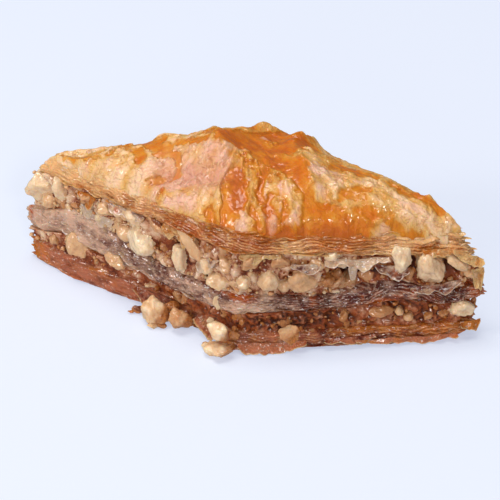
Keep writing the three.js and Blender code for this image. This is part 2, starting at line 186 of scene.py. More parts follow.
@dataclass(frozen=True)
class Plan:
    """The outline of the diamond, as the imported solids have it."""

    along: Pair = (22.5, -9.15)
    across: Pair = (20.0, 9.15)
    middle: Pair = (-0.052, 1.519)
    corner_cut: float = 0.04

    @property
    def area(self) -> float:
        """A quarter of the area of the diamond."""
        return self.along[0] * self.across[1] - self.along[1] * self.across[0]

    def length(self, face: Face) -> float:
        """The length of a front face."""
        return 2 * math.hypot(*(self.along if face is LEFT else self.across))

    def place(self, s: Array, t: Array, out: Union[float, Array] = 0.0) -> Points:
        """Plan points of (s, t).

        Args:
            s: shares towards the right front face.
            t: shares away from the left front face.
            out: how far the edge stands out past the outline there.

        Returns:
            n rows of x, y.
        """
        reach_along = self.area / math.hypot(*self.across)
        reach_across = self.area / math.hypot(*self.along)
        spread_s = s * (1 + out / reach_along * np.abs(s) ** 3)
        spread_t = t * (1 + out / reach_across * np.abs(t) ** 3)
        blunt = 1 - self.corner_cut * np.abs(s * t) ** 6
        x = (self.along[0] * spread_s + self.across[0] * spread_t) * blunt + self.middle[0]
        y = (self.along[1] * spread_s + self.across[1] * spread_t) * blunt + self.middle[1]
        return np.stack([x, y], axis=-1)

    def shares(self, x: Array, y: Array) -> tuple[Array, Array]:
        """The (s, t) of plan points, away from the blunted corners."""
        x, y = x - self.middle[0], y - self.middle[1]
        s = (x * self.across[1] - y * self.across[0]) / self.area
        t = (self.along[0] * y - self.along[1] * x) / self.area
        return s, t

    def on_face(self, face: Face, along: float) -> tuple[Array, Array]:
        """A place on a front face.

        Args:
            face: which front face.
            along: distance from the front corner.

        Returns:
            The plan point and the outward direction, x and y each.
        """
        share = 2 * along / self.length(face)
        s, t = (1 - share, -1.0) if face is LEFT else (1.0, share - 1)
        run = np.array(self.along if face is LEFT else self.across)
        outward = np.array([run[1], -run[0]]) / np.hypot(*run)
        return self.place(np.array(s), np.array(t)), outward


PLAN = Plan()


@dataclass(frozen=True)
class Rise:
    """A swelling of a field along a front face."""

    face: Face
    at: float
    rise: float
    width: float


@dataclass(frozen=True)
class Field:
    """A value over the plan, given at the left, front, right and back corners."""

    corners: tuple[float, float, float, float]
    crown: float = 0.0
    rises: tuple[Rise, ...] = ()

    REACH = 0.7

    def __call__(self, s: Array, t: Array) -> Array:
        """The value at each (s, t)."""
        left, front, right, back = self.corners
        front_side = left + (front - left) * (s + 1) / 2
        back_side = back + (right - back) * (s + 1) / 2
        value = front_side + (back_side - front_side) * (t + 1) / 2
        value = value + self.crown * (1 - s * s) * (1 - t * t)
        for rise in self.rises:
            is_left = rise.face is LEFT
            aside = ((s if is_left else t) - rise.at) / rise.width
            inwards = ((1 + t) if is_left else (1 - s)) / self.REACH
            value = value + rise.rise * np.exp(-(aside**2) - inwards**2)
        return value


BASE_TOP = Field((4.7, 3.6, 3.4, 3.6), crown=0.3)
LOWER_NUTS_TOP = Field(
    (5.9, 6.9, 8.3, 7.0),
    crown=0.5,
    rises=(
        Rise(LEFT, -0.6, 1.8, 0.2), Rise(LEFT, -0.1, 1.0, 0.18),
        Rise(RIGHT, 0.3, 0.7, 0.2), Rise(RIGHT, 0.67, -1.0, 0.2),
    ),
)
MIDDLE_TOP = Field(
    (11.2, 11.3, 11.4, 11.4),
    crown=1.0,
    rises=(
        Rise(LEFT, -0.36, 2.6, 0.28), Rise(RIGHT, -0.35, -0.9, 0.25),
        Rise(RIGHT, 0.3, 1.2, 0.2), Rise(RIGHT, 0.67, -1.8, 0.2),
    ),
)
UPPER_NUTS_TOP = Field((18.0, 20.2, 15.6, 18.0), crown=4.2)
CRUST_RIM = Field((21.3, 22.4, 20.0, 20.8))
RIM_TOP = Field((21.9, 23.5, 21.0, 21.2))
CRUSHED_FOOT = Rise(LEFT, 0.36, -2.6, 0.45)
CRUST_OVERHANG = Field((-0.4, 0.5, -0.5, 0.2))
MIDDLE_OVERHANG = Field((0.6, -0.3, 0.3, 0.0))
BASE_OVERHANG = Field((0.6, 0.4, -0.1, 0.3), rises=(CRUSHED_FOOT,))
LOWER_NUTS_OVERHANG = Field((1.2, 0.0, 0.0, 0.0), rises=(Rise(LEFT, 0.36, -1.6, 0.45),))
NO_OVERHANG = Field((0.0, 0.0, 0.0, 0.0))
SOAKED_RISE = Field((0.0, 0.0, 0.0, 0.0), rises=(Rise(LEFT, -0.5, 1.4, 0.3),))


def base_foot(s: Array, t: Array) -> Array:
    """The underside of the piece, which curls up at the right corner."""
    return 1.7 * ease((s + t) / 2, 0.84, 1.0)


@dataclass(frozen=True)
class Edge:
    """Columns evenly round the side, anticlockwise from the left corner."""

    columns: int

    def shares(self) -> tuple[Array, Array]:
        """The (s, t) of each column."""
        side, share = np.divmod(np.arange(self.columns) * 4 / self.columns, 1)
        run = 2 * share - 1
        s = np.select([side == 0, side == 1, side == 2], [run, 1.0, -run], -1.0)
        t = np.select([side == 0, side == 1, side == 2], [-1.0, run, 1.0], -run)
        return s, t

    def row(self, out: Union[float, Array], height: Array, share: float = 1.0) -> Points:
        """A closed row of points.

        Args:
            out: how far each column stands out.
            height: the height of each.
            share: how far out from the middle the row runs.

        Returns:
            n rows of x, y, z.
        """
        s, t = self.shares()
        return lifted(PLAN.place(s * share, t * share, out), height)


@dataclass(frozen=True)
class Spot:
    """A soft-edged patch on a front face."""

    face: Face
    along: float
    height: float
    reach: float
    rise: float
    amount: float = 1.0


def spots_at(spots: Sequence[Spot], points: Points) -> Array:
    """The sum of the patches at each point.

    Args:
        spots: the patches.
        points: n rows of x, y, z.

    Returns:
        One value for each point.
    """
    s, t = PLAN.shares(points[:, 0], points[:, 1])
    total = np.zeros(len(points))
    for spot in spots:
        is_left = spot.face is LEFT
        along = ((1 - s) if is_left else (1 + t)) / 2 * PLAN.length(spot.face)
        inwards = np.clip((1 + t) if is_left else (1 - s), 0, None) / 0.3
        apart = ((along - spot.along) / spot.reach) ** 2 + ((points[:, 2] - spot.height) / spot.rise) ** 2
        total += spot.amount * np.exp(-apart - inwards**2)
    return total


# -------- making meshes


def deselect() -> None:
    """Leaves nothing selected."""
    for piece in bpy.context.selected_objects:
        piece.select_set(False)


def activate(piece: Piece) -> None:
    """Makes a piece the only selected one and the active one."""
    deselect()
    piece.select_set(True)
    bpy.context.view_layer.objects.active = piece


def linked(name: str, data: bpy.types.ID) -> Piece:
    """A new object of a mesh, a light or a camera, in the scene."""
    piece = bpy.data.objects.new(name, data)
    bpy.context.scene.collection.objects.link(piece)
    return piece


def primitive(name: str, operator: Callable[..., set], **settings: object) -> Piece:
    """Adds a primitive at the origin.

    Args:
        name: the name of the new piece.
        operator: the operator that adds it.
        settings: the operator's own settings.

    Returns:
        The new object, the only one selected.
    """
    deselect()
    operator(**settings)
    piece = bpy.context.active_object
    piece.name = name
    piece.data.name = name
    return piece


def grid(name: str, across: int, deep: int) -> Piece:
    """A flat sheet from -1 to 1 both ways, of so many cells across and deep."""
    add = bpy.ops.mesh.primitive_grid_add
    return primitive(name, add, x_subdivisions=across, y_subdivisions=deep, size=2.0)


def corners_of(piece: Piece) -> Points:
    """The vertices of a mesh as n rows, in its own units."""
    flat = np.zeros(len(piece.data.vertices) * 3)
    piece.data.vertices.foreach_get("co", flat)
    return flat.reshape(-1, 3)


def normals_of(piece: Piece) -> Points:
    """The outward direction at each vertex of a mesh, as n rows."""
    flat = np.zeros(len(piece.data.vertices) * 3)
    piece.data.vertices.foreach_get("normal", flat)
    return flat.reshape(-1, 3)


def move_corners(piece: Piece, points: Points) -> None:
    """Puts the vertices of a mesh at points given in millimetres."""
    piece.data.vertices.foreach_set("co", (points * MM).ravel())
    piece.data.update()


def paint(piece: Piece, name: str, values: Array) -> None:
    """Stores one number for each vertex under a name that a finish reads."""
    layer = piece.data.attributes.get(name) or piece.data.attributes.new(name, "FLOAT", "POINT")
    layer.data.foreach_set("value", np.asarray(values, dtype=np.float32))


def painted_on(piece: Piece, name: str) -> Array:
    """The numbers stored under a name, one for each vertex."""
    values = np.zeros(len(piece.data.vertices), dtype=np.float32)
    piece.data.attributes[name].data.foreach_get("value", values)
    return values.astype(float)


def slice_off(place: Vector, facing: Vector) -> None:
    """Cuts away what lies beyond a plane, and closes the cut, in edit mode."""
    bpy.ops.mesh.select_all(action="SELECT")
    bpy.ops.mesh.bisect(plane_co=place, plane_no=facing, use_fill=True, clear_outer=True)


def apply_modifier(piece: Piece, kind: str, **settings: object) -> None:
    """Adds a modifier of a kind with its settings, and applies it."""
    activate(piece)
    modifier = piece.modifiers.new(kind.title(), kind)
    for key, value in settings.items():
        setattr(modifier, key, value)
    bpy.ops.object.modifier_apply(modifier=modifier.name)


def smooth(piece: Piece, degrees: float = 180.0) -> None:
    """Shades a piece smooth up to an angle between its faces."""
    activate(piece)
    if degrees >= 180:
        bpy.ops.object.shade_smooth()
    else:
        bpy.ops.object.shade_smooth_by_angle(angle=math.radians(degrees))


def carried(piece: Piece, source: Points, values: dict[str, Array]) -> dict[str, Array]:
    """Values for each vertex from the nearest of other points.

    Args:
        piece: the mesh that the values are for.
        source: the points that have them, in metres.
        values: the values at those points, by name.

    Returns:
        The values at the vertices, by name.
    """
    tree = KDTree(len(source))
    for number, point in enumerate(source.tolist()):
        tree.insert(point, number)
    tree.balance()
    nearest = np.array([tree.find(point)[1] for point in corners_of(piece).tolist()])
    return {name: given[nearest] for name, given in values.items()}


def softened(piece: Piece, values: Array, rounds: int) -> Array:
    """Values averaged with those of the neighbouring vertices, several times over."""
    ends = np.zeros(len(piece.data.edges) * 2, dtype=np.int32)
    piece.data.edges.foreach_get("vertices", ends)
    first, second = ends.reshape(-1, 2).T
    count = len(piece.data.vertices)
    shared = np.maximum(np.bincount(ends, minlength=count), 1)
    for _ in range(rounds):
        near = np.bincount(first, values[second], count) + np.bincount(second, values[first], count)
        values = (values + near / shared) / 2
    return values


def crevices(piece: Piece, rounds: int) -> Array:
    """How deep each vertex lies between its neighbours, in millimetres."""
    points = corners_of(piece) / MM
    level = np.column_stack([softened(piece, points[:, axis], rounds) for axis in range(3)])
    return np.sum((level - points) * normals_of(piece), axis=1)


def join(pieces: Sequence[Piece], name: str) -> Piece:
    """Joins several meshes into one piece.

    Args:
        pieces: the meshes.
        name: the name of the joined piece.

    Returns:
        The joined object.
    """
    activate(pieces[0])
    for piece in pieces[1:]:
        piece.select_set(True)
    if len(pieces) > 1:
        bpy.ops.object.join()
    pieces[0].name = name
    pieces[0].data.name = name
    return pieces[0]


def steps_round(x: Array, y: Array, steps: int) -> Array:
    """Which of so many even steps round the middle each (x, y) lies at."""
    return np.rint(np.arctan2(y, x) / (2 * math.pi) * steps).astype(int) % steps


def band(name: str, rows: Sequence[Points]) -> tuple[Piece, Array, Array]:
    """A closed band round the side, from a torus.

    Args:
        name: the name of the piece.
        rows: rows of points, from the outermost one over the top, inside and back below.

    Returns:
        The new object, and the row and the column of each vertex.
    """
    around, high = len(rows[0]), len(rows)
    sizes = {"major_segments": around, "minor_segments": high, "major_radius": 1.0, "minor_radius": 0.25}
    piece = primitive(name, bpy.ops.mesh.primitive_torus_add, generate_uvs=False, **sizes)
    x, y, z = corners_of(piece).T
    column = steps_round(x, y, around)
    row = steps_round(np.hypot(x, y) - 1, z, high)
    move_corners(piece, np.stack(rows)[row, column])
    return piece, row, column


def shell(name: str, rows: Sequence[Points]) -> tuple[Piece, Array, Array]:
    """A closed body from a sphere, its rows running from the top down its side to the underside.

    Args:
        name: the name of the piece.
        rows: rows of points, from the innermost on top to the innermost below.

    Returns:
        The new object, and the row and the column of each vertex, where row 0 is its top.
    """
    around, high = len(rows[0]), len(rows) + 1
    sizes = {"segments": around, "ring_count": high, "radius": 1.0}
    piece = primitive(name, bpy.ops.mesh.primitive_uv_sphere_add, calc_uvs=False, **sizes)
    x, y, z = corners_of(piece).T
    column = steps_round(x, y, around)
    row = np.rint(np.arccos(np.clip(z, -1, 1)) / math.pi * high).astype(int)
    poles = [np.tile(end.mean(0), (around, 1)) for end in (rows[0], rows[-1])]
    move_corners(piece, np.stack([poles[0], *rows, poles[1]])[row, column])
    return piece, row, column


# -------- finishes


WET_IOR = 1.5
GLAZE_IOR = 1.45


def tone(red: int, green: int, blue: int) -> tuple[float, float, float, float]:
    """A colour as the eye reads it, from 0 to 255 each, as the shader's own linear one."""
    linear = [((v / 255 + 0.055) / 1.055) ** 2.4 if v > 10 else v / 255 / 12.92 for v in (red, green, blue)]
    return (*linear, 1.0)


class Socket:
    """One output of a node. Arithmetic on it adds Math nodes."""

    def __init__(self, shader: "Shader", output: bpy.types.NodeSocket) -> None:
        """Wraps an output of the shader's tree."""
        self.shader = shader
        self.output = output

    def _math(self, operation: str, first: object, second: object = 0.0) -> "Socket":
        """A Math node on one value or two."""
        return self.shader.node("ShaderNodeMath", {"operation": operation}, {0: first, 1: second})

    def __add__(self, other: object) -> "Socket":
        """self + other."""
        return self._math("ADD", self, other)

    __radd__ = __add__

    def __mul__(self, other: object) -> "Socket":
        """self * other."""
        return self._math("MULTIPLY", self, other)

    __rmul__ = __mul__

    def __sub__(self, other: object) -> "Socket":
        """self - other."""
        return self._math("SUBTRACT", self, other)

    def __rsub__(self, other: object) -> "Socket":
        """other - self."""
        return self._math("SUBTRACT", other, self)

    def ripple(self) -> "Socket":
        """A wave from -1 to 1 that repeats with every whole number."""
        return self._math("SINE", self * (2 * math.pi))

    def magnitude(self) -> "Socket":
        """The value without its sign."""
        return self._math("ABSOLUTE", self)

    def step(self, low: float, high: float) -> "Socket":
        """A smooth step from 0 at low to 1 at high."""
        return self.shader.node(
            "ShaderNodeMapRange",
            {"interpolation_type": "SMOOTHSTEP"},
            {"Value": self, "From Min": low, "From Max": high},
        )


class Shader:
    """A material made of nodes."""

    def __init__(self, name: str) -> None:
        """Starts a material with a Principled shader.

        Args:
            name: the name of the material.
        """
        self.material = bpy.data.materials.new(name)
        self.material.use_nodes = True
        self.tree = self.material.node_tree
        self.surface = self.tree.nodes["Principled BSDF"]
        self.spot = self.node("ShaderNodeTexCoord", output="Object")

    def node(
        self,
        kind: str,
        settings: Optional[dict[str, object]] = None,
        inputs: Optional[dict[Union[int, str], object]] = None,
        output: Union[int, str] = 0,
    ) -> Socket:
        """Adds a node.

        Args:
            kind: the node's type.
            settings: its settings, where stops are those of a colour ramp.
            inputs: values or links of its sockets, by place or identifier.
            output: which output is wanted, by place or identifier.

        Returns:
            The wanted output.
        """
        node = self.tree.nodes.new(kind)
        for key, value in (settings or {}).items():
            if key == "stops":
                self._set_stops(node.color_ramp, value)
            else:
                setattr(node, key, value)
        for key, value in (inputs or {}).items():
            self.feed(self._find(node.inputs, key), value)
        return Socket(self, self._find(node.outputs, output))

    @staticmethod
    def _find(sockets: object, key: Union[int, str]) -> bpy.types.NodeSocket:
        """A socket by its place, identifier or name."""
        if isinstance(key, int):
            return sockets[key]
        return next(s for s in sockets if key in (s.identifier, s.name))

    @staticmethod
    def _set_stops(ramp: bpy.types.ColorRamp, stops: Sequence[tuple[float, tuple]]) -> None:
        """Gives a colour ramp its stops."""
        while len(ramp.elements) < len(stops):
            ramp.elements.new(1.0)
        for element, (position, colour) in zip(ramp.elements, stops):
            element.position = position
            element.color = colour

    def feed(self, socket: bpy.types.NodeSocket, value: object) -> None:
        """Links a wrapped output to a socket, or sets the socket's own value."""
        if isinstance(value, Socket):
            self.tree.links.new(value.output, socket)
        else:
            socket.default_value = value

    def set(self, **values: object) -> None:
        """Feeds inputs of the Principled shader, named with _ for a space."""
        for key, value in values.items():
            self.feed(self.surface.inputs[key.replace("_", " ")], value)

    def painted(self, name: str) -> Socket:
        """A number stored on the mesh."""
        return self.node("ShaderNodeAttribute", {"attribute_name": name}, output="Fac")

    def noise(
        self,
        per_mm: float,
        detail: float = 3.0,
        roughness: float = 0.5,
        stretch: Optional[tuple] = None,
        swirl: float = 0.0,
    ) -> Socket:
        """Noise from 0 to 1 on Object coordinates.

        Args:
            per_mm: lumps to a millimetre.
            detail: how many finer layers there are.
            roughness: how strong the finer layers are.
            stretch: a scale for each axis, for fibres.
            swirl: how far the noise is dragged about.

        Returns:
            The noise.
        """
        spot = self.spot
        if stretch:
            spot = self.node("ShaderNodeMapping", inputs={"Vector": spot, "Scale": stretch}, output="Vector")
        inputs = {"Vector": spot, "Scale": per_mm / MM, "Detail": detail, "Roughness": roughness}
        return self.node("ShaderNodeTexNoise", inputs={**inputs, "Distortion": swirl})

    def ramp(self, value: Socket, *stops: tuple[float, tuple]) -> Socket:
        """A colour from a value."""
        return self.node("ShaderNodeValToRGB", {"stops": stops}, {"Fac": value}, output="Color")

    def mix(self, share: object, first: object, second: object) -> Socket:
        """Mixes two colours by a share."""
        inputs = {"Factor_Float": share, "A_Color": first, "B_Color": second}
        return self.node("ShaderNodeMix", {"data_type": "RGBA"}, inputs, output="Result_Color")

    def bump(self, height: Socket, millimetres: float, strength: float = 1.0) -> Socket:
        """A Bump node of the given depth."""
        inputs = {"Height": height, "Distance": millimetres * MM, "Strength": strength}
        return self.node("ShaderNodeBump", inputs=inputs, output="Normal")

    def moist(self, colour: Socket, normal: Socket, coat: float, coat_roughness: float) -> None:
        """Feeds what every soaked surface shares.

        Args:
            colour: its colour.
            normal: its bumps.
            coat: how much syrup lies on it.
            coat_roughness: how rough the syrup is.
        """
        self.set(Base_Color=colour, Roughness=0.4, Specular_IOR_Level=0.1, Normal=normal)
        self.set(Coat_Weight=coat, Coat_Roughness=coat_roughness, Coat_IOR=WET_IOR)

    def scatter(self, weight: float, radius: Triple, millimetres: float) -> None:
        """Lets light run under the surface, by a distance and each colour's share of it."""
        self.set(Subsurface_Weight=weight, Subsurface_Radius=radius, Subsurface_Scale=millimetres * MM)

    def dress(self, piece: Piece) -> None:
        """Gives the material to a whole piece."""
        piece.data.materials.clear()
        piece.data.materials.append(self.material)


@dataclass(frozen=True)
class CrustFinish:
    """Baked filo under syrup: pale and flaky where it stands proud, amber and glassy where syrup lies, with a
    painted pink sheen in patches and painted shade in its large hollow.
    """

    pink: tuple = tone(240, 190, 168)
    cream: tuple = tone(242, 200, 158)
    straw: tuple = tone(222, 168, 94)
    golden: tuple = tone(208, 130, 26)
    amber: tuple = tone(202, 106, 0)
    russet: tuple = tone(186, 92, 10)
    brown: tuple = tone(130, 52, 4)
    # The colour of the painted shade in the large hollow.
    hollow_shade: tuple = tone(214, 154, 126)

    def shader(self) -> Shader:
        """Makes the material. It reads the browning, the pale leaves and painted pink sheen, the pools, their
        outlines and the painted shade of the hollow.
        """
        make = Shader("crust_finish")
        browning = make.painted("browning")
        milky_and_sheen = make.painted("milkiness_and_sheen")
        pool = make.painted("pool")
        edge = make.painted("edge")
        broad = make.noise(0.45, 3.0, 0.5, swirl=0.6)
        fine = make.noise(1.3, 4.0, 0.6, swirl=0.8)
        speck = make.noise(3.0, 2.0, 0.55)
        depth = browning + (broad - 0.5) * 0.4 + (fine - 0.5) * 0.24 + (speck - 0.5) * 0.14
        colour = make.ramp(
            depth,
            (0.1, self.cream),
            (0.34, self.straw),
            (0.56, self.golden),
            (0.85, self.amber),
            (1.0, self.russet),
        )
        # Pale pink patches: partly dry pale leaves, partly a painted highlight that stands in for the pink
        # sheen of the glaze.
        pale = (milky_and_sheen + (fine - 0.5) * 0.35 + (speck - 0.5) * 0.15).step(0.2, 0.85)
        colour = make.mix(pale * 0.85, colour, self.pink)
        # Painted shade: the large hollow is darkened towards a dusky pink.
        colour = make.mix(make.painted("hollow_shade"), colour, self.hollow_shade)
        seam = 1.0 - (broad * 2.0 + fine * 0.4 - 1.2).magnitude().step(0.0, 0.035)
        colour = make.mix(seam * 0.45, colour, self.russet)
        colour = make.mix(edge.step(0.2, 1.0) * 0.8, colour, self.brown)
        relief = (fine + speck * 0.3 - seam * 0.2) * (1.0 - pool * 0.6)
        make.set(
            Base_Color=colour,
            Roughness=0.42 - pool * 0.14,
            Specular_IOR_Level=0.25,
            Coat_Weight=0.45 + pool * 0.2,
            Coat_Roughness=0.1,
            Coat_IOR=GLAZE_IOR,
            Normal=make.bump(relief, 0.38),
        )
        make.scatter(0.3, (1.0, 0.35, 0.08), 1.2)
        return make


@dataclass(frozen=True)
class FiloFinish:
    """Filo soaked through with syrup, seen from its cut side, with painted shade in the gaps between its leaves
    and painted glints.
    """

    name: str
    light: tuple
    deep: tuple
    warm: tuple
    line: tuple
    # The colour of the painted shade in the gaps between leaves.
    gap_shade: tuple
    # The colour of the painted glints.
    painted_glint: tuple = tone(240, 222, 212)
    wet: float = 0.8
    marked: float = 0.5
    # How strong the painted glints are.
    painted_glint_amount: float = 0.6
    run: Triple = (0.85, 0.85, 1.3)

    def shader(self) -> Shader:
        """Makes the material. It reads shade, warm, edge, layer and marks."""
        make = Shader(self.name)
        layer = make.painted("layer")
        marks = make.painted("marks") * self.marked
        shade = make.painted("shade")
        warm = make.painted("warm")
        edge = make.painted("edge")
        fibre = make.noise(0.9, 4.0, 0.6, stretch=self.run, swirl=1.2)
        fine = make.noise(2.2, 3.0, 0.6, stretch=(0.8, 0.8, 1.4), swirl=0.8)
        speck = make.noise(2.0, 2.0, 0.55, stretch=(0.7, 0.7, 1.4))
        cloud = make.noise(0.35, 3.0, 0.6)
        worn = make.noise(0.5, 4.0, 0.6)
        blend = shade + (cloud - 0.5) * 0.9 + (fibre - 0.5) * 0.6 + (fine - 0.5) * 0.7
        colour = make.mix(blend.step(0.0, 1.0), self.light, self.deep)
        colour = make.mix((warm + (worn - 0.5) * 1.6 + (fine - 0.5) * 0.6).step(0.2, 0.9), colour, self.warm)
        ripple = (layer + (fine - 0.5) * 0.5).ripple()
        faded = (worn - 0.5) * 2.6
        # Painted shade: dark lines in the gaps between the leaves.
        colour = make.mix((0.0 - ripple + faded).step(0.3, 1.3) * marks, colour, self.gap_shade)
        colour = make.mix((ripple + faded).step(0.5, 1.3) * marks, colour, self.line)
        colour = make.mix((edge * (0.5 + fine * 0.5)).step(0.2, 0.9), colour, self.line)
        # Painted glints: pale specks that stand in for highlights on the wet surface.
        colour = make.mix((speck + fine * 0.3).step(0.76, 0.84) * self.painted_glint_amount, colour, self.painted_glint)
        make.moist(colour, make.bump(fibre * 1.1 + fine * 1.1, 0.5), self.wet, 0.18)
        make.scatter(0.4, (1.0, 0.5, 0.25), 1.5)
        return make


@dataclass(frozen=True)
class NutFinish:
    """Chopped nut: cream flesh with patches of thin brown skin, stained where syrup has soaked in."""

    @staticmethod
    def flesh(make: Shader, soft: Socket, fine: Socket) -> Socket:
        """The colour of cut nut. It reads skin, tint and stain.

        Args:
            make: the material.
            soft: broad noise.
            fine: fine noise.

        Returns:
            The colour.
        """
        stain = make.painted("stain")
        flesh = make.ramp(
            make.painted("tint") * 0.62 + (soft - 0.5) * 0.6 + 0.24 + (fine - 0.5) * 0.3,
            (0.0, tone(148, 80, 40)),
            (0.35, tone(195, 136, 88)),
            (0.7, tone(223, 179, 134)),
            (1.0, tone(245, 222, 186)),
        )
        syrup = make.ramp(fine, (0.3, tone(122, 52, 12)), (0.7, tone(204, 126, 50)))
        colour = make.mix((stain + (soft - 0.5) * 1.2).step(0.3, 1.2) * 0.85, flesh, syrup)
        bark = make.ramp(fine, (0.25, tone(86, 38, 16)), (0.75, tone(150, 82, 40)))
        return make.mix((make.painted("skin") + (fine - 0.5) * 0.8).step(0.42, 0.6), colour, bark)

    def shader(self) -> Shader:
        """Makes the material of loose pieces."""
        make = Shader("nut_finish")
        soft = make.noise(0.7, 5.0, 0.65)
        fine = make.noise(2.6, 5.0, 0.7)
        bumps = make.bump(fine * 0.7 + soft * 0.8, 0.25, 0.9)
        make.moist(self.flesh(make, soft, fine), bumps, 0.8, 0.24)
        make.scatter(0.35, (1.0, 0.6, 0.3), 1.4)
        return make


@dataclass(frozen=True)
class CourseFinish:
    """Chopped nuts and the crumbs and syrup that bind them."""

    @staticmethod
    def paste(make: Shader, soft: Socket, fine: Socket) -> Socket:
        """The colour of the crumbs and syrup. It reads stain and lump.

        Args:
            make: the material.
            soft: broad noise.
            fine: fine noise.

        Returns:
            The colour.
        """
        stain = make.painted("stain")
        # The paste runs from pale on the core's lumps to dark red-brown low between them, partly syrup and
        # partly painted shade.
        colour = make.ramp(
            make.painted("lump") * 1.3 + (fine - 0.5) * 0.9 + (soft - 0.5) * 0.5 - 0.06 - stain * 0.34,
            (0.0, tone(70, 14, 2)),
            (0.25, tone(136, 62, 28)),
            (0.5, tone(194, 136, 100)),
            (0.9, tone(230, 194, 160)),
        )
        amber = make.ramp(fine, (0.3, tone(132, 50, 12)), (0.75, tone(188, 98, 36)))
        colour = make.mix((stain + (soft - 0.5) * 0.8).step(0.35, 1.0) * 0.7, colour, amber)
        # Where the stain runs past 1 the paste turns nearly black: in the most soaked places, and as painted
        # shade in the hollows and the deepest gaps.
        return make.mix((stain + (fine - 0.5) * 0.6).step(1.0, 1.7) * 0.9, colour, tone(56, 12, 2))

    def shader(self) -> Shader:
        """Makes the material. It also reads nut, which is 1 on pieces of nut."""
        make = Shader("course_finish")
        soft = make.noise(0.7, 5.0, 0.65)
        fine = make.noise(2.4, 5.0, 0.7)
        share = (make.painted("nut") + (fine - 0.5) * 0.7).step(0.35, 0.65)
        colour = make.mix(share, self.paste(make, soft, fine), NutFinish.flesh(make, soft, fine))
        make.moist(colour, make.bump(fine * 0.8 + soft * 0.8, 0.32), 1.0, 0.16)
        make.scatter(0.3, (1.0, 0.55, 0.25), 1.4)
        return make


@dataclass(frozen=True)
class FloorFinish:
    """Pale matt studio floor."""

    colour: tuple = (0.4, 0.41, 0.42, 1.0)
    cloudy: tuple = (0.39, 0.41, 0.42, 1.0)
    glow: tuple = (0.7, 0.78, 1.0, 1.0)

    def shader(self) -> Shader:
        """Makes the material."""
        make = Shader("floor_finish")
        colour = make.mix(make.noise(0.004, 1.0, 0.4) * 0.04, self.colour, self.cloudy)
        make.set(
            Base_Color=colour,
            Roughness=0.9,
            Specular_IOR_Level=0.1,
            Emission_Color=self.glow,
            Emission_Strength=0.56,
        )
        return make


# -------- the crust


# How steeply the sides of a stroke fall: smoothly, to a crease, or round a flat top.
BROAD = 1.4
CREASED = 1.2
FLAT_TOPPED = 3.0


@dataclass(frozen=True)
class Stroke:
    """A soft-edged stroke on the crust between two plan points: a crest, a hollow or a patch."""

    start: Pair
    end: Pair
    amount: float
    width: float
    sharpness: float

    def at(self, plan: Points) -> Array:
        """What the stroke adds at each plan point."""
        start, run = np.array(self.start), np.array(self.end) - np.array(self.start)
        share = np.clip((plan - start) @ run / (run @ run), 0, 1)
        aside = np.linalg.norm(plan - start - share[:, None] * run, axis=1)
        return self.amount * np.exp(-((aside / self.width) ** self.sharpness))


def strokes(sharpness: float, *rows: tuple[float, ...]) -> tuple[Stroke, ...]:
    """Strokes of one sharpness.

    Args:
        sharpness: how steeply their sides fall.
        rows: x and y of the start, x and y of the end, amount and width of each.

    Returns:
        The strokes.
    """
    return tuple(Stroke(row[:2], row[2:4], row[4], row[5], sharpness) for row in rows)


def strongest(patches: Sequence[Stroke], plan: Points) -> Array:
    """The largest amount of any patch at each plan point, never below 0."""
    total = np.zeros(len(plan))
    for patch in patches:
        total = np.maximum(total, patch.at(plan))
    return total


FOLDS = strokes(
    BROAD,
    (2.2, -16.5, -5, -3, 1.3, 3.2), (-5, -3, -8, 3.5, 1.4, 3),
    (-5, 0.5, -0.5, 8, 1.8, 3), (-0.5, 8, 4.5, 8, 1.3, 2.2),
    (6.8, 7, 8.8, 9.4, 2.2, 1.6), (32.5, 2.2, 39, 0.9, 2.3, 2),
    (13.6, 4.6, 17, 3, -0.9, 2), (6, 4, 12.5, -6.5, 1.5, 2),
    (13, 2.5, 29, 1.2, 0.7, 2.6), (-17, 2, -9, -2.5, 1.2, 2.4),
    (-34, 2, -20, 6.5, -3.2, 3.6), (-20, 5.6, -14, 6.4, -1, 2.4),
    (-13, -6.5, -4.5, -8, -2.6, 3.2),
)

# The finer folds: sharp creases, creases with rounder crests, and soft dents.
CREASES = (
    *strokes(
        CREASED,
        (-9.8, -4.1, -7.6, -6.4, 0.7, 0.5), (-9.8, -4.1, -11.6, -7, 0.6, 0.5),
        (-1.8, -11.3, -3.6, -4, 0.5, 0.6), (-0.2, -14.6, -1.2, -9, 0.5, 0.7),
        (1.8, -9.5, 1.4, -5, 0.5, 0.5), (3.4, -12, 3.2, -5, 0.5, 0.6),
        (8.1, -5.6, 11.6, -10.2, 0.9, 0.7), (5.6, 5.1, 9.6, 4.6, 0.6, 0.6),
    ),
    Stroke((0.6, 5.5), (2.6, 3.2), 0.5, 0.6, 1.3),
    *strokes(
        CREASED,
        (10, 1.5, 14.4, -1.5, 0.5, 0.5), (11, -0.8, 17, -3.4, 0.5, 0.5),
        (20.3, -2.8, 30.4, -2.6, 0.5, 0.7), (24, -1.2, 33, -1.6, 0.4, 0.6),
    ),
    *strokes(
        BROAD,
        (15, -6.4, 21, -5.4, -0.5, 1.2), (0.2, -6.2, 1.6, -11.5, -0.9, 1.6),
        (-14.2, -5.2, -12, -3.4, -0.4, 1.3), (-22, -2, -18, -0.4, -0.4, 1.2),
    ),
)

# Blisters: x, y, radius and height.
BLISTERS = (
    (8.4, -12.2, 1, 0.5), (6.3, -12.6, 1.1, 0.4), (5.2, -13.8, 0.8, 0.3),
    (10.9, -11.2, 0.9, 0.4), (23.6, -6.6, 1.4, 0.5), (25.4, -5.9, 1.2, 0.5),
    (17, -9.3, 0.9, 0.35), (21, -7.8, 1, 0.3), (2.6, -13.2, 1.4, 0.3),
)

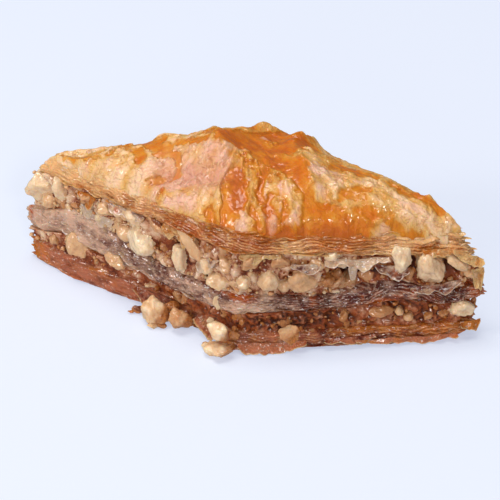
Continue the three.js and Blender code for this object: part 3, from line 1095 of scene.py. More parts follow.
# Where syrup has run together, deep amber where it is thick.
SYRUP = strokes(
    FLAT_TOPPED,
    (-36.7, 0.6, -32.3, -0.9, 0.6, 0.7), (-32.3, -0.9, -27.7, -1.9, 0.45, 0.6),
    (-25.5, -0.9, -23.9, 1.8, 0.7, 0.8), (-23.9, 1.8, -16.8, 1.8, 0.8, 1),
    (-34.8, 0.6, -29.5, -1.2, 0.6, 0.8), (-30.8, -1.8, -28.7, -2.2, 0.5, 0.7),
    (-26, 7.1, -18, 1, 0.85, 1.3), (-27.5, 2.3, -20.3, -0.9, 0.42, 0.8),
    (-19.9, -1, -18.8, -3.3, 0.75, 1), (-16.1, -1.6, -14, -1.1, 0.7, 0.8),
    (-14, -1.1, -11.9, -2.9, 0.7, 0.8), (-11.9, -2.9, -11.4, -4.9, 0.7, 0.8),
    (-11.4, -4.9, -12.6, -6.1, 0.7, 0.8), (-12.6, -6.1, -15.8, -6.3, 0.7, 0.8),
    (-17.2, 0.1, -12.9, 0.2, 0.5, 0.9), (-13.1, 0.6, -7.6, -0.4, 0.7, 0.9),
    (-13.7, 5.3, -7.7, 1.9, 0.7, 1), (-13.3, -8.8, -13.1, -8.8, 0.8, 0.7),
    (-1, -6.4, 0.5, -9.4, 0.9, 1.7), (0.5, -9.4, 1.6, -12, 0.9, 1.7),
    (1.6, -12, 1.4, -15.3, 0.7, 1), (-1.5, -9, -0.5, -13, 0.55, 0.9),
    (-0.5, -13, 1.1, -15.9, 0.55, 0.9), (-4.9, 0, 7.1, 10.7, 0.75, 1.4),
    (-2.1, 1.1, 1.5, 2.3, 0.85, 1.8), (1.5, 2.3, 6.7, 2.7, 0.85, 1.8),
    (5.5, 5.5, 9.8, 6.6, 0.85, 1.6), (0.6, -0.6, 9.5, -1.7, 0.7, 1.6),
    (6.2, -1.5, 10.2, -4.1, 0.85, 1.6), (10.5, -4.5, 13.6, -8.1, 0.75, 1.4),
    (13.6, -8.1, 17.2, -8.5, 0.75, 1.4), (12.6, -9.3, 18.9, -8.4, 0.6, 1.3),
    (17.6, -3.7, 22, -1.3, 0.85, 0.9), (17.8, -4.7, 21.2, -3.3, 0.7, 0.7),
    (13.3, -11.5, 23.3, -6.9, 0.7, 0.9), (23.9, -6.3, 28.1, -4.2, 0.5, 0.5),
    (28.1, -4.2, 34.2, -2.1, 0.5, 0.5), (3.4, -4.7, 5.4, -9.7, 0.35, 0.8),
    (4, -10.8, 5.5, -13.3, 0.42, 0.8), (6.4, -9.7, 7.8, -13, 0.5, 0.6),
    (14.4, 2.6, 21.9, 2.6, 0.5, 1), (29.4, 2.3, 34.6, 1.5, 0.4, 0.9),
    (4.2, -15.8, 12.7, -11.9, 0.55, 0.5), (-3.5, -12.5, -1.2, -15.3, 0.45, 0.8),
    (-0.3, -1.4, 3.4, -3.7, 0.45, 1), (14.7, -7.2, 19, -7, 0.4, 1.2),
    (21.2, -5.7, 27, -4.1, 0.35, 1), (26.8, 1.6, 29.8, -0.4, 0.3, 1),
    (6.8, -4.6, 9.6, -9.6, 0.45, 0.45), (8.4, -7.4, 10.4, -11.4, 0.4, 0.5),
    (6.6, -8.4, 8, -11.4, 0.4, 0.45),
)

# Patches that are browner all over, and the large hollow, darkened towards a dusky pink with painted shade.
BROWNED = (
    Stroke((5, -4.5), (9.5, -11), 0.07, 2.4, 2),
    Stroke((-11.9, -8.2), (-8.9, -8.8), 0.14, 3.4, 2),
)
HOLLOW_SHADE = Stroke((-14, -5.6), (-4.5, -8), 1, 3.2, 2)

# Where the leaves stand dry and pale, and where a painted pink highlight stands in for the sheen of the glaze.
MILKY_AND_SHEEN = strokes(
    FLAT_TOPPED,
    (-15.1, -8.3, -7.4, -6.4, 0.8, 1.3), (-11.8, -10.3, -7.1, -11.3, 0.7, 1.1),
    (-10, -4, -9, -4.9, 0.8, 1), (-10.2, -5.8, -5.7, -6.2, 0.6, 0.8),
    (-30.4, -2.8, -26.1, -3.3, 0.5, 0.9), (-12.6, -0.9, -7.9, -1.7, 0.6, 1),
    (-7.1, -2, -2.9, -3.8, 0.7, 1.6), (-5.6, -2.2, -1.9, -6.8, 0.5, 1.4),
    (2.3, -13.1, 3.4, -15.4, 0.65, 1.5), (2.8, -11, 3.6, -13, 0.5, 0.8),
    (1.6, -6.8, 2.6, -10.4, 0.5, 0.5), (7.9, -12.2, 8.1, -12.2, 0.5, 1.4),
    (10.8, -11.4, 11, -11.4, 0.45, 1), (8.2, -6.6, 12.6, -10.4, 0.5, 0.9),
    (11, -2, 15.7, -0.2, 0.7, 1.2), (13.8, -5.4, 16.2, -5.4, 0.7, 1.1),
    (9.2, -0.8, 12.7, 0.4, 0.5, 0.7), (16, -1.1, 21.1, -0.6, 0.6, 0.8),
    (25.4, -5.9, 27.4, -5.4, 0.5, 0.8), (27.4, -1.8, 32.3, -0.4, 0.6, 0.8),
    (33.8, -0.9, 38.2, -0.2, 0.5, 0.8), (21.9, -1.1, 25.6, -1.8, 0.3, 1.4),
    (0.5, 5.4, 2.3, 5.3, 0.6, 0.6), (3.2, 8.2, 6.8, 7, 0.5, 0.5),
    (-3.9, -1.3, -1.5, -0.6, 0.6, 1.2), (7.4, -5.9, 9.2, -10.5, 0.7, 0.35),
    (9.4, -6.6, 12, -10.8, 0.6, 0.4), (5.7, -6.2, 6.4, -10.4, 0.65, 0.35),
)


@dataclass
class Crust:
    """The puffed top: a wrinkled skin over a rim of thin leaves."""

    puff: float = 8.4
    fullness: float = 0.55
    lean: float = 0.12
    half_length: float = 42.5
    half_width: float = 16.8
    shoulder: float = 1.0
    shoulder_reach: float = 0.9
    setback: float = 0.9
    rim_calm: float = 0.22
    calm_rim: float = 0.06
    steps: tuple[int, int] = (270, 250)
    wrinkles: int = 70
    pool_depth: float = 0.2
    peak: Pair = (-2.0, 5.0)
    sway: float = 0.9
    crumple: float = 0.14
    fanning: float = 0.5
    crinkle: float = 0.13
    leaf_step: float = 0.07
    pebble: float = 0.05

    # Row by row from the skin's outline down to its closed underside: how far it drops below the outline, how
    # far it stands out, how much of its height comes from the nuts, and what share of the plan it keeps.
    RIM_DROP = np.array([0.0, 0.18, 0.45, 0.8, 0.0, 0.0, 0.0])
    RIM_OUT = np.array([0.0, 0.1, 0.0, -1.3, -1.6, -1.8, 0.0])
    RIM_LOW = np.array([0.0, 0.0, 0.0, 0.0, 0.6, 1.0, 1.0])
    RIM_SHARE = np.array([1.0, 1.0, 1.0, 1.0, 1.0, 0.86, 1.0])
    # Noise levels between which the top leaf steps down, and those at which its broken edge shows.
    LEAF_STEPS = ((0.0, 0.05), (0.32, 0.37), (-0.34, -0.29))
    LEAF_EDGES = (0.02, 0.345, -0.315)

    def __post_init__(self) -> None:
        """Draws the wrinkles and starts the noise."""
        self.grain = Grain(SEED + 1)
        chance = np.random.default_rng(SEED + 2)
        self.strewn = [self._wrinkle(chance) for _ in range(self.wrinkles)]

    @staticmethod
    def _wrinkle(chance: np.random.Generator) -> Stroke:
        """One short crease, mostly fanning out from the middle."""
        middle = PLAN.place(chance.uniform(-0.95, 0.95), chance.uniform(-0.95, 0.95))
        heading = math.atan2(middle[1], middle[0]) + chance.normal(0, 0.6)
        half = chance.uniform(1.0, 4.5) * np.array([math.cos(heading), math.sin(heading)])
        height = chance.uniform(0.1, 0.35) * (-1 if chance.random() < 0.3 else 1)
        return Stroke(tuple(middle - half), tuple(middle + half), height, chance.uniform(0.25, 0.7), CREASED)

    def smooth_top(self, s: Array, t: Array) -> Array:
        """The height of the crust with its large folds alone."""
        plan = PLAN.place(s, t) - PLAN.middle
        puffed = np.clip((1 - s * s) * (1 - t * t), 0, None) ** self.fullness
        relief = sum(fold.at(plan) for fold in FOLDS)
        leaning = 1 + self.lean * plan[:, 0] / self.half_length
        shoulder = self.shoulder * np.exp(-((inward(s, t) * self.half_width / self.shoulder_reach) ** 2))
        fade = ease(inward(s, t), 0, self.rim_calm)
        return CRUST_RIM(s, t) + self.puff * puffed * leaning + fade * relief - shoulder

    def fine_relief(self, s: Array, t: Array) -> tuple[Array, Array]:
        """What wrinkles, broken leaves and blisters add to the height.

        Args:
            s: shares towards the right front face.
            t: shares away from the left front face.

        Returns:
            The added height, and where broken leaves leave an edge, from 0 to 1.
        """
        plan, grain = PLAN.place(s, t), self.grain
        level = lifted(plan)
        bent = plan + self.sway * np.column_stack([grain.at(level + 9, 0.35), grain.at(level + 57, 0.35)])
        relief = sum(crease.at(bent) for crease in CREASES) + sum(crease.at(bent) for crease in self.strewn)
        for x, y, radius, height in BLISTERS:
            apart = np.hypot(bent[:, 0] - x, bent[:, 1] - y) / radius
            relief += height * np.clip(1 - apart**2, 0, None) ** 0.7
        warped = lifted(bent)
        relief += self.crumple * (ridged(grain.at(warped, 0.3, 2), 4) - 0.3)
        far, fan = self.fan(plan)
        fanned = ridged(grain.at(fan + 0.25 * grain.at(level, 0.3, 2)[:, None], 1.0, 3, 0.6), 2)
        calmer = 1 - 0.55 * ease(plan[:, 0], 3.0, 12.0)
        relief += self.fanning * (fanned - 0.5) * ease(far, 2.0, 9.0) * calmer
        relief += self.crinkle * (ridged(grain.at(warped + 5, 0.9, 2), 3) - 0.4)
        leaf = grain.at(warped + 77, 0.28, 3)
        relief += self.leaf_step * (sum(ease(leaf, *step) for step in self.LEAF_STEPS) - 1.5)
        edges = sum(np.exp(-(((leaf - edge) / 0.03) ** 2)) for edge in self.LEAF_EDGES)
        relief += self.pebble * grain.at(warped + 31, 1.8, 2)
        return relief, edges

    def fan(self, plan: Points) -> tuple[Array, Points]:
        """How far plan points are from the peak, and points for noise that runs out from it."""
        away = plan - self.peak
        far = np.hypot(*away.T)
        return far, np.column_stack([np.arctan2(*away.T) * 5.5, far * 0.07, np.zeros(len(plan))])

    def tone_map(self, s: Array, t: Array, relief: Array, edges: Array) -> dict[str, Array]:
        """How the crust is browned, where syrup lies and where leaf edges show.

        Args:
            s: shares towards the right front face.
            t: shares away from the left front face.
            relief: the added height at each place.
            edges: where broken leaves leave an edge.

        Returns:
            The numbers to paint, by name.
        """
        plan, grain = PLAN.place(s, t), self.grain
        x, level = plan[:, 0], lifted(plan)
        bent = plan + self.sway * np.column_stack([grain.at(level + 3, 0.45, 2), grain.at(level + 23, 0.45, 2)])
        rough = grain.at(level + 41, 0.25, 3)
        richer = ease(x, -18.0, 2.0) - 0.5 * ease(x, 7.0, 20.0)
        milky_and_sheen, syrup = strongest(MILKY_AND_SHEEN, bent), strongest(SYRUP, bent)

        # Syrup pools where much of it has run. Its outline is sharp on the left and blurred on the right.
        wetness = 0.2 + 0.14 * richer + syrup - 0.45 * milky_and_sheen + 0.24 * rough - 0.2 * relief
        blurred = ease(x, 1.0, 10.0)
        pool = (1 - blurred) * ease(wetness, 0.5, 0.6) + blurred * ease(wetness, 0.3, 0.8)
        outline = np.exp(-(((wetness - 0.52) / 0.03) ** 2)) * (1 - 0.8 * blurred)
        soft = strongest(SYRUP, plan + 0.4 * (bent - plan)) ** 0.7

        # The crust is browner where it is wet, low or at the outline of a pool, and along the right rim.
        right_rim = np.exp(-(((1 - s) * PLAN.length(LEFT) / 2 / 1.6) ** 2)) * (1 - ease(t, -0.1, 0.5))
        browning = 0.14 + 0.27 * richer + 0.2 * soft + 0.22 * ease(wetness, 0.34, 0.68) + 0.14 * rough
        browning += 0.1 * np.clip(wetness - 0.6, 0, 0.6) + blurred * (0.01 - 0.1 * soft)
        browning += 0.16 * outline - 0.2 * relief + 0.35 * right_rim + 0.06
        for patch in BROWNED:
            browning += patch.at(plan)
        far, fan = self.fan(bent)
        browning += 0.2 * grain.at(fan * (1.6, 2.5, 1.0) + 13, 1.0, 3) * ease(far, 3.0, 9.0)
        browning += 0.14 * pool * grain.at(level + 87, 0.7, 3)

        # Pale dry leaves, and patches of painted pink sheen.
        milkiness_and_sheen = milky_and_sheen - 0.1 - 0.04 * ease(x, 4.0, 12.0) - 0.3 * pool
        milkiness_and_sheen += 0.3 * grain.at(level + 61, 0.3, 4, 0.6)
        milkiness_and_sheen += 0.2 * relief
        edge = outline * (0.5 + 0.5 * edges)
        # Painted shade in the large hollow, weaker where syrup pools.
        hollow_shade = 0.85 * HOLLOW_SHADE.at(plan - PLAN.middle) * (1 - 0.7 * pool) * (1 + 0.4 * rough)
        return {"browning": browning, "pool": pool, "milkiness_and_sheen": milkiness_and_sheen, "edge": edge, "hollow_shade": hollow_shade}

    def skin(self) -> Piece:
        """The wrinkled skin with its turned-down rim, closed below."""
        piece = grid("crust_skin", *self.steps)
        bpy.ops.object.mode_set(mode="EDIT")
        bpy.ops.mesh.select_all(action="DESELECT")
        bpy.ops.mesh.select_non_manifold()
        for _ in self.RIM_DROP[1:]:
            bpy.ops.mesh.extrude_region_move(TRANSFORM_OT_translate={"value": (0, 0, -1)})
        bpy.ops.mesh.merge(type="CENTER")
        bpy.ops.object.mode_set(mode="OBJECT")
        s, t, depth = corners_of(piece).T
        row = np.rint(-depth).astype(int)
        relief, edges = self.fine_relief(s, t)
        tones = self.tone_map(s, t, relief, edges)
        relief = relief * (1 - 0.6 * tones["pool"]) - self.pool_depth * tones["pool"]
        relief = relief * (0.25 + 0.75 * ease(inward(s, t), 0, self.calm_rim))
        level = lifted(PLAN.place(s, t))
        ragged = self.grain.at(level, 0.5, 3) + 0.7 * self.grain.at(level + 19, 0.14, 2)
        drop = self.RIM_DROP[row] * (1 + 1.4 * np.clip(ragged, -0.6, 0.9))
        low = self.RIM_LOW[row]
        height = (self.smooth_top(s, t) + relief - drop) * (1 - low) + (UPPER_NUTS_TOP(s, t) + 0.1) * low
        out = CRUST_OVERHANG(s, t) + self.RIM_OUT[row] + (row < 3) * (0.25 * ragged - self.setback)
        kept = self.RIM_SHARE[row]
        move_corners(piece, lifted(PLAN.place(s * kept, t * kept, out), height))
        for name, values in tones.items():
            paint(piece, name, values)
        activate(piece)
        bpy.ops.object.mode_set(mode="EDIT")
        bpy.ops.mesh.select_all(action="SELECT")
        bpy.ops.mesh.normals_make_consistent(inside=False)
        bpy.ops.object.mode_set(mode="OBJECT")
        smooth(piece)
        return piece


# -------- stacks of filo


@dataclass
class FiloStack:
    """A stack of filo leaves pressed together, with loose leaves standing out round its side."""

    name: str
    top: Level
    low: Level
    overhang: Field
    leaves: int
    seed: int
    columns: int = 600
    side_rows: int = 22
    ridges: float = 0.15
    steps: float = 0.15
    lumpy: float = 0.3
    wave: float = 0.3
    flare: float = 0.5
    thickness: float = 0.16
    depth: float = 2.2
    shade: Field = Field((0.3, 0.3, 0.3, 0.3))
    warm: tuple[Spot, ...] = ()
    shades: tuple[Spot, ...] = ()
    warmth: float = 0.0
    inset: float = 0.0
    setback: float = 0.0
    tips: float = 0.0
    hem: float = 0.0
    ply: int = 5
    pale: float = 0.75
    layering: float = 0.35
    bend: float = 0.9
    plain: float = -0.2
    marking: Field = Field((1.0, 1.0, 1.0, 1.0))
    turned_in: float = 1.2
    turned_under: float = 1.2

    # Rings across the top and the underside, as shares of the plan.
    TOP_RINGS = (0.25, 0.5, 0.68, 0.82)
    LOW_RINGS = (0.82, 0.68, 0.45, 0.2)

    def __post_init__(self) -> None:
        """Starts the noise."""
        self.grain = Grain(self.seed)
        self.edge = Edge(self.columns)

    def _colour(self, piece: Piece, edge: Array) -> None:
        """Paints shade, warmth and leaf edges on a piece of the stack."""
        points = corners_of(piece) / MM
        s, t = PLAN.shares(points[:, 0], points[:, 1])
        s, t = np.clip(s, -1.1, 1.1), np.clip(t, -1.1, 1.1)
        drift = self.grain.at(points * (1, 1, 2.0), 0.22, 4, 0.6)
        layered = self.grain.at(points * (0.6, 0.6, 1.3), 0.8, 3, 0.6)
        shade = self.shade(s, t) + spots_at(self.shades, points) + self.layering * (drift + layered)
        paint(piece, "shade", shade)
        paint(piece, "warm", self.warmth + spots_at(self.warm, points) + 0.2 * self.grain.at(points, 0.3, 3))
        paint(piece, "edge", edge)

    def body(self) -> Piece:
        """The pressed stack, its side ridged by the leaves in it."""
        s, t = self.edge.shares()
        top, low = self.top(s, t), self.low(s, t)
        rows = [self.edge.row(0.0, self.top(s * ring, t * ring), ring) for ring in self.TOP_RINGS]
        first = len(rows) + 1
        layers = []
        for n in range(self.side_rows):
            down = n / (self.side_rows - 1)
            height = top + (low - top) * down
            flat = self.edge.row(0.0, height)
            warp = self.grain.at(flat * (1, 1, 0.7), 0.13, 3)
            phase = down * self.ply + self.bend * warp
            ragged = self.grain.at(lifted(flat[:, :2], np.floor(phase) * 7.7), 0.16, 3)
            lumps = self.grain.at(flat, 0.3, 2) + 0.4 * self.grain.at(flat * (1, 1, 1.6), 0.9, 3, 0.6)
            ridge = 1 - (2 * np.abs(phase % 1 - 0.5)) ** 1.4
            turned_in = self.turned_in if down < 0.5 else self.turned_under
            rounding = -turned_in * (2 * abs(down - 0.5)) ** 6 - self.setback * (1 - down) ** 1.3
            layered = self.marking(s, t) * (self.ridges * ridge + self.steps * ragged)
            out = self.overhang(s, t) - self.inset + layered + rounding + self.lumpy * lumps
            layers.append(phase)
            rows.append(self.edge.row(out, height))
        rows += [self.edge.row(0.0, self.low(s * ring, t * ring), ring) for ring in self.LOW_RINGS]
        piece, row, column = shell(self.name + "_body", rows)
        side = (row >= first) & (row < first + self.side_rows)
        self._colour(piece, np.where(side, 0.1, 0.0))
        layer = np.stack(layers)[np.clip(row - first, 0, self.side_rows - 1), column]
        paint(piece, "layer", np.where(side, layer, 0.0))
        down = (row - first) / (self.side_rows - 1)
        marks = ease(down, self.plain - 0.2, self.plain + 0.1) * self.marking(s, t)[column]
        paint(piece, "marks", np.where(side, marks, 0.0))
        smooth(piece)
        return piece

    def _section(self) -> tuple[tuple[float, float, float, float], ...]:
        """Round the section of a leaf: how far behind its edge, share of the droop, side and paleness."""
        upper = ((0.12, 0.85, 1.0, 0.85), (0.7, 0.3, 1.0, 0.2), (self.depth, 0.0, 1.0, 0.0))
        lower = tuple((back, hang, -side, pale) for back, hang, side, pale in reversed(upper))
        return ((0.0, 1.0, 0.0, 1.0), *upper, *lower)

    def leaf(self, number: int) -> Piece:
        """One thin leaf round the side, wavy and ragged.

        Args:
            number: its place in the stack, from the top.

        Returns:
            The leaf.
        """
        s, t = self.edge.shares()
        share = (number + 0.5) / self.leaves
        top, low = self.top(s, t), self.low(s, t)
        plan = PLAN.place(s, t)
        here = lifted(plan, number * 5.3)
        bend = self.wave * self.grain.at(lifted(plan, number * 0.35), 0.22, 3)
        height = top + (low - top) * share + bend
        ragged = self.grain.at(here, 0.3, 4, 0.62)
        torn = -1.1 * ease(self.grain.at(here + 40, 0.16, 2), 0.25, 0.5)
        calm = 1 - ease(-(s + t) / 2, 0.8, 1.0)
        out = self.overhang(s, t) - self.inset + self.flare * (0.5 + 0.8 * ragged) * calm + torn
        out -= self.setback * (1 - share) ** 1.3
        corner = np.clip((s + t) / 2, 0, 1) ** 14
        out += self.tips * corner * (0.6 + 1.6 * self.grain.at(here + 63, 0.8, 2))
        height = np.clip(height, low + 0.12, top - 0.05)
        droop = 0.22 * self.grain.at(here + 80, 0.35, 2)
        if number == self.leaves - 1 and self.hem:
            rippled = self.grain.at(here + 21, 0.42, 2)
            out += self.hem * (0.8 + 0.7 * rippled) * calm
            height = low + 0.55 + 0.6 * rippled
            droop = 0.5 * self.grain.at(here + 27, 0.42, 2)
        half = self.thickness / 2 * (1 + 0.4 * self.grain.at(here + 11, 0.5, 2))
        section = self._section()
        rows = [
            self.edge.row(out - back, height + droop * hang + half * side) for back, hang, side, _ in section
        ]
        piece, row, _ = band(f"{self.name}_leaf_{number}", rows)
        worn = 0.75 + 0.6 * self.grain.at(corners_of(piece) / MM, 0.5, 3)
        places = PLAN.shares(*(corners_of(piece)[:, :2].T / MM))
        worn = worn * ease(np.array(share), self.plain - 0.2, self.plain + 0.1) * self.marking(*places)
        self._colour(piece, self.pale * worn * np.array([pale for *_, pale in section])[row])
        smooth(piece, 60)
        return piece

    def loose_leaves(self) -> Piece:
        """All the leaves, joined."""
        return join([self.leaf(number) for number in range(self.leaves)], self.name + "_leaves")


@dataclass(frozen=True)
class Flap:
    """A torn leaf of filo that hangs on a front face."""

    face: Face
    along: float
    height: float
    length: float
    drop: float
    out: float = 0.2
    lift: float = 0.6
    slope: float = 0.0
    ragged: float = 0.5
    wave: float = 0.5
    shade: float = 0.1
    warm: float = 0.0
    thickness: float = 0.16
    cells: tuple[int, int] = (64, 18)

    def sheet(self, number: int) -> Piece:
        """The torn leaf.

        Args:
            number: which leaf, for its own noise.

        Returns:
            The new object.
        """
        piece = grid(f"flap_{number}", *self.cells)
        flat = corners_of(piece)
        run, down = flat[:, 0], (1 - flat[:, 1]) / 2
        grain = Grain(SEED + 700 + number)
        spot = lifted(np.column_stack([run * self.length / 2, 0 * run]), 1.7)
        sheet = lifted(np.column_stack([run * self.length / 2, down * self.drop]), 5.1)
        torn = np.clip(1 + self.ragged * 1.2 * grain.at(spot, 0.35, 3), 0.15, 1.8)
        torn = torn * (1 - 0.8 * np.abs(run) ** 4)
        along = self.along + run * self.length / 2 + 0.25 * grain.at(sheet + 9, 0.5, 2)
        height = self.height - down * self.drop * torn + self.slope * run + 0.3 * grain.at(spot + 4, 0.3, 2)
        out = self.out + self.lift * down**1.4 + self.wave * grain.at(sheet, 0.45, 3) * (0.3 + 0.7 * down)
        plan, outward = PLAN.on_face(self.face, along)
        plan = plan + outward * out[:, None]
        move_corners(piece, lifted(plan, np.clip(height, 0.15, None)))
        apply_modifier(piece, "SOLIDIFY", thickness=self.thickness * MM, offset=0.0)
        points = corners_of(piece) / MM
        paint(piece, "shade", self.shade + 0.5 * grain.at(points * (1, 1, 3), 0.5, 3))
        paint(piece, "warm", self.warm + 0.3 * grain.at(points, 0.4, 3))
        paint(piece, "edge", 0.9 * ease(np.tile(down, 2), 0.8, 1.0))
        smooth(piece, 60)
        return piece


SOAKED_FLAPS = (
    Flap(RIGHT, 21, 17.4, 11, 1.2, out=-0.1, lift=1, ragged=0.8, shade=-0.5),
    Flap(RIGHT, 20.2, 16.4, 1.5, 2.4, out=0.8, lift=0.2, ragged=0.2, shade=-0.5),
    Flap(RIGHT, 27, 15.8, 6, 1.8, out=0.1, lift=0.6, slope=-0.6, shade=0.6, warm=0.3),
    Flap(RIGHT, 34.6, 11.6, 9, 1.5, out=0.3, lift=0.7, slope=0.5, shade=0.65, warm=0.3),
    Flap(RIGHT, 12.4, 17.2, 5, 1.6, out=0, lift=0.6, shade=0.4),
    Flap(LEFT, 31, 15.6, 8, 2, out=-0.3, lift=0.4, slope=0.4, shade=-0.2, ragged=0.3),
    Flap(LEFT, 24, 19.2, 8, 1.4, out=-0.2, lift=0.5, shade=0.3, warm=0.3),
    Flap(LEFT, 5.6, 16.2, 4.6, 2.4, out=-0.3, lift=0.8, slope=-0.8, shade=0.2),
)
GOLDEN_FLAPS = (
    Flap(RIGHT, 43, 14, 3.4, 3.6, out=0.4, lift=0.5, ragged=0.8, warm=0.3, shade=-0.5),
    Flap(RIGHT, 41, 17, 7.2, 1.8, out=0.2, lift=0.8, slope=-1.4, warm=0.3),
    Flap(RIGHT, 35, 18.3, 6, 1.2, out=-0.2, lift=0.5, ragged=0.5, warm=0.6),
    Flap(LEFT, 33.4, 18.6, 4, 2.2, out=-0.1, lift=0.5, warm=0.9, shade=0.4),
    Flap(LEFT, 11.8, 20, 7, 2.2, out=-0.2, lift=0.5, ragged=0.9, warm=0.4, shade=0.4),
    Flap(RIGHT, 4.6, 19.4, 7, 1.5, out=0, lift=0.5, ragged=0.6, warm=0.3, shade=0.2),
)
BASE_FLAPS = (
    Flap(RIGHT, 30, 1.5, 18, 0.9, out=0.7, lift=0.5, ragged=0.3, wave=0.7, warm=0.3, shade=-0.5),
    Flap(RIGHT, 6.6, 1.7, 12, 1.4, out=0.2, lift=1, ragged=0.5, wave=0.6, shade=-0.3),
    Flap(RIGHT, 20, 2.2, 9, 1.2, out=0.4, lift=0.6, ragged=0.5, wave=0.6, shade=0.5),
    Flap(RIGHT, 42, 3.4, 5, 1.4, out=0.2, lift=0.7, ragged=0.4, warm=0.9),
    Flap(LEFT, 12, 3.6, 9, 2.8, out=-2.4, lift=1.6, ragged=0.4, shade=0.3, warm=0.4),
    Flap(LEFT, 19, 3.6, 8, 2.4, out=-1.4, lift=1, ragged=0.4, shade=0.4),
    Flap(LEFT, 6, 3.6, 6, 2.4, out=-1.6, lift=1.4, ragged=0.4, shade=0.3, warm=0.3),
)


# -------- nuts


@dataclass(frozen=True)
class Lump:
    """The mesh of one chopped piece, 1 across: corners, faces and where its skin is."""

    corners: Points
    faces: list[tuple[int, ...]]
    skin: Array

    def fitted(self, turn: Points) -> "Lump":
        """The same piece turned, and 1 across along every axis."""
        corners = self.corners @ turn
        low, high = corners.min(0), corners.max(0)
        return Lump((corners - (low + high) / 2) / (high - low), self.faces, self.skin)


@dataclass
class NutCutter:
    """Cuts chopped pieces of nut from a ball with flat planes, and rounds and roughens them."""

    seed: int
    fineness: int
    cuts: int
    nearest: float
    voxel: float = 0.0
    rough: float = 0.0
    grooves: float = 0.0

    FARTHEST = 0.44

    def cut(self, number: int) -> Lump:
        """One piece.

        Args:
            number: which piece of this cutter's run.

        Returns:
            Its mesh, about 1 across.
        """
        chance = np.random.default_rng(self.seed + number)
        piece = primitive("lump", bpy.ops.mesh.primitive_ico_sphere_add, subdivisions=self.fineness, radius=0.5)
        bpy.ops.object.mode_set(mode="EDIT")
        for _ in range(self.cuts):
            facing = Vector(chance.normal(size=3)).normalized()
            slice_off(facing * chance.uniform(self.nearest, self.FARTHEST), facing)
        bpy.ops.object.mode_set(mode="OBJECT")
        if self.voxel:
            apply_modifier(piece, "REMESH", mode="VOXEL", voxel_size=self.voxel)
            apply_modifier(piece, "SMOOTH", factor=0.5, iterations=1)
        else:
            apply_modifier(piece, "TRIANGULATE")
        corners = corners_of(piece)
        corners -= (corners.max(0) + corners.min(0)) / 2
        corners /= (corners.max(0) - corners.min(0)).max()
        grain = Grain(self.seed + 100 + number)
        swell = 1 + self.rough * grain.at(corners, 2.2, 4, 0.6)
        swell -= self.grooves * ridged(grain.at(corners + 7, 2.6, 2), 5)
        faces = [tuple(face.vertices) for face in piece.data.polygons]
        facing = chance.normal(size=3)
        side = corners @ (facing / np.linalg.norm(facing))
        bpy.data.objects.remove(piece)
        return Lump(corners * swell[:, None], faces, ease(side, 0.02, 0.3))


@dataclass(frozen=True)
class Chop:
    """A placed piece of nut."""

    lump: Lump
    middle: Triple
    size: Triple
    outward: Pair
    turn: Points
    tilt: float
    skin: float
    tint: float
    stain: float

    INWARD_SOAK_AND_SHADE = 0.9

    def points(self) -> Points:
        """Its corners in the row's frame."""
        sized = self.lump.corners @ self.turn * self.size
        tilt = math.radians(self.tilt)
        across = sized[:, 0] * math.cos(tilt) - sized[:, 2] * math.sin(tilt)
        upward = sized[:, 0] * math.sin(tilt) + sized[:, 2] * math.cos(tilt)
        outward = np.array(self.outward)
        aside = np.array([-outward[1], outward[0]])
        plan = across[:, None] * aside + sized[:, 1:2] * outward
        return np.column_stack([plan, upward]) + self.middle

    def soaked(self) -> Array:
        """How far syrup colour is painted on each corner: the piece's own stain, and most where the piece lies
        inwards, there partly syrup and partly painted shade.
        """
        inwards = -(self.lump.corners @ self.turn)[:, 1]
        return self.stain + self.INWARD_SOAK_AND_SHADE * ease(inwards, -0.15, 0.35)


def random_turn(chance: np.random.Generator) -> Points:
    """A seeded turn in space, as a 3 by 3 matrix."""
    turn, _ = np.linalg.qr(chance.normal(size=(3, 3)))
    if np.linalg.det(turn) < 0:
        turn[:, 0] = -turn[:, 0]
    return turn


def strew(name: str, chops: Sequence[Chop]) -> Piece:
    """Joins placed pieces into one mesh.

    Args:
        name: the name of the piece.
        chops: the placed pieces.

    Returns:
        The new object.
    """
    points, faces, skin, tint, stain = [], [], [], [], []
    count = 0
    for chop in chops:
        corners = chop.points()
        points.append(corners)
        faces.extend(tuple(count + v for v in face) for face in chop.lump.faces)
        skin.append(chop.lump.skin * chop.skin)
        tint.append(np.full(len(corners), chop.tint))
        stain.append(chop.soaked())
        count += len(corners)
    mesh = bpy.data.meshes.new(name)
    mesh.from_pydata((np.concatenate(points) * MM).tolist(), [], faces)
    piece = linked(name, mesh)
    for key, values in (("skin", skin), ("tint", tint), ("stain", stain)):
        paint(piece, key, np.concatenate(values))
    return piece


class Cut(Enum):
    """How a larger piece of nut is shaped."""

    CHOPPED = "chopped"
    ROUND = "round"


@dataclass(frozen=True)
class Hero:
    """A larger piece that shows on a front face."""

    face: Face
    along: float
    height: float
    size: Triple
    out: float = -0.7
    tilt: float = 0.0
    cut: Cut = Cut.CHOPPED
    tint: float = 0.7
    skin: float = 0.0
    stain: float = 0.0


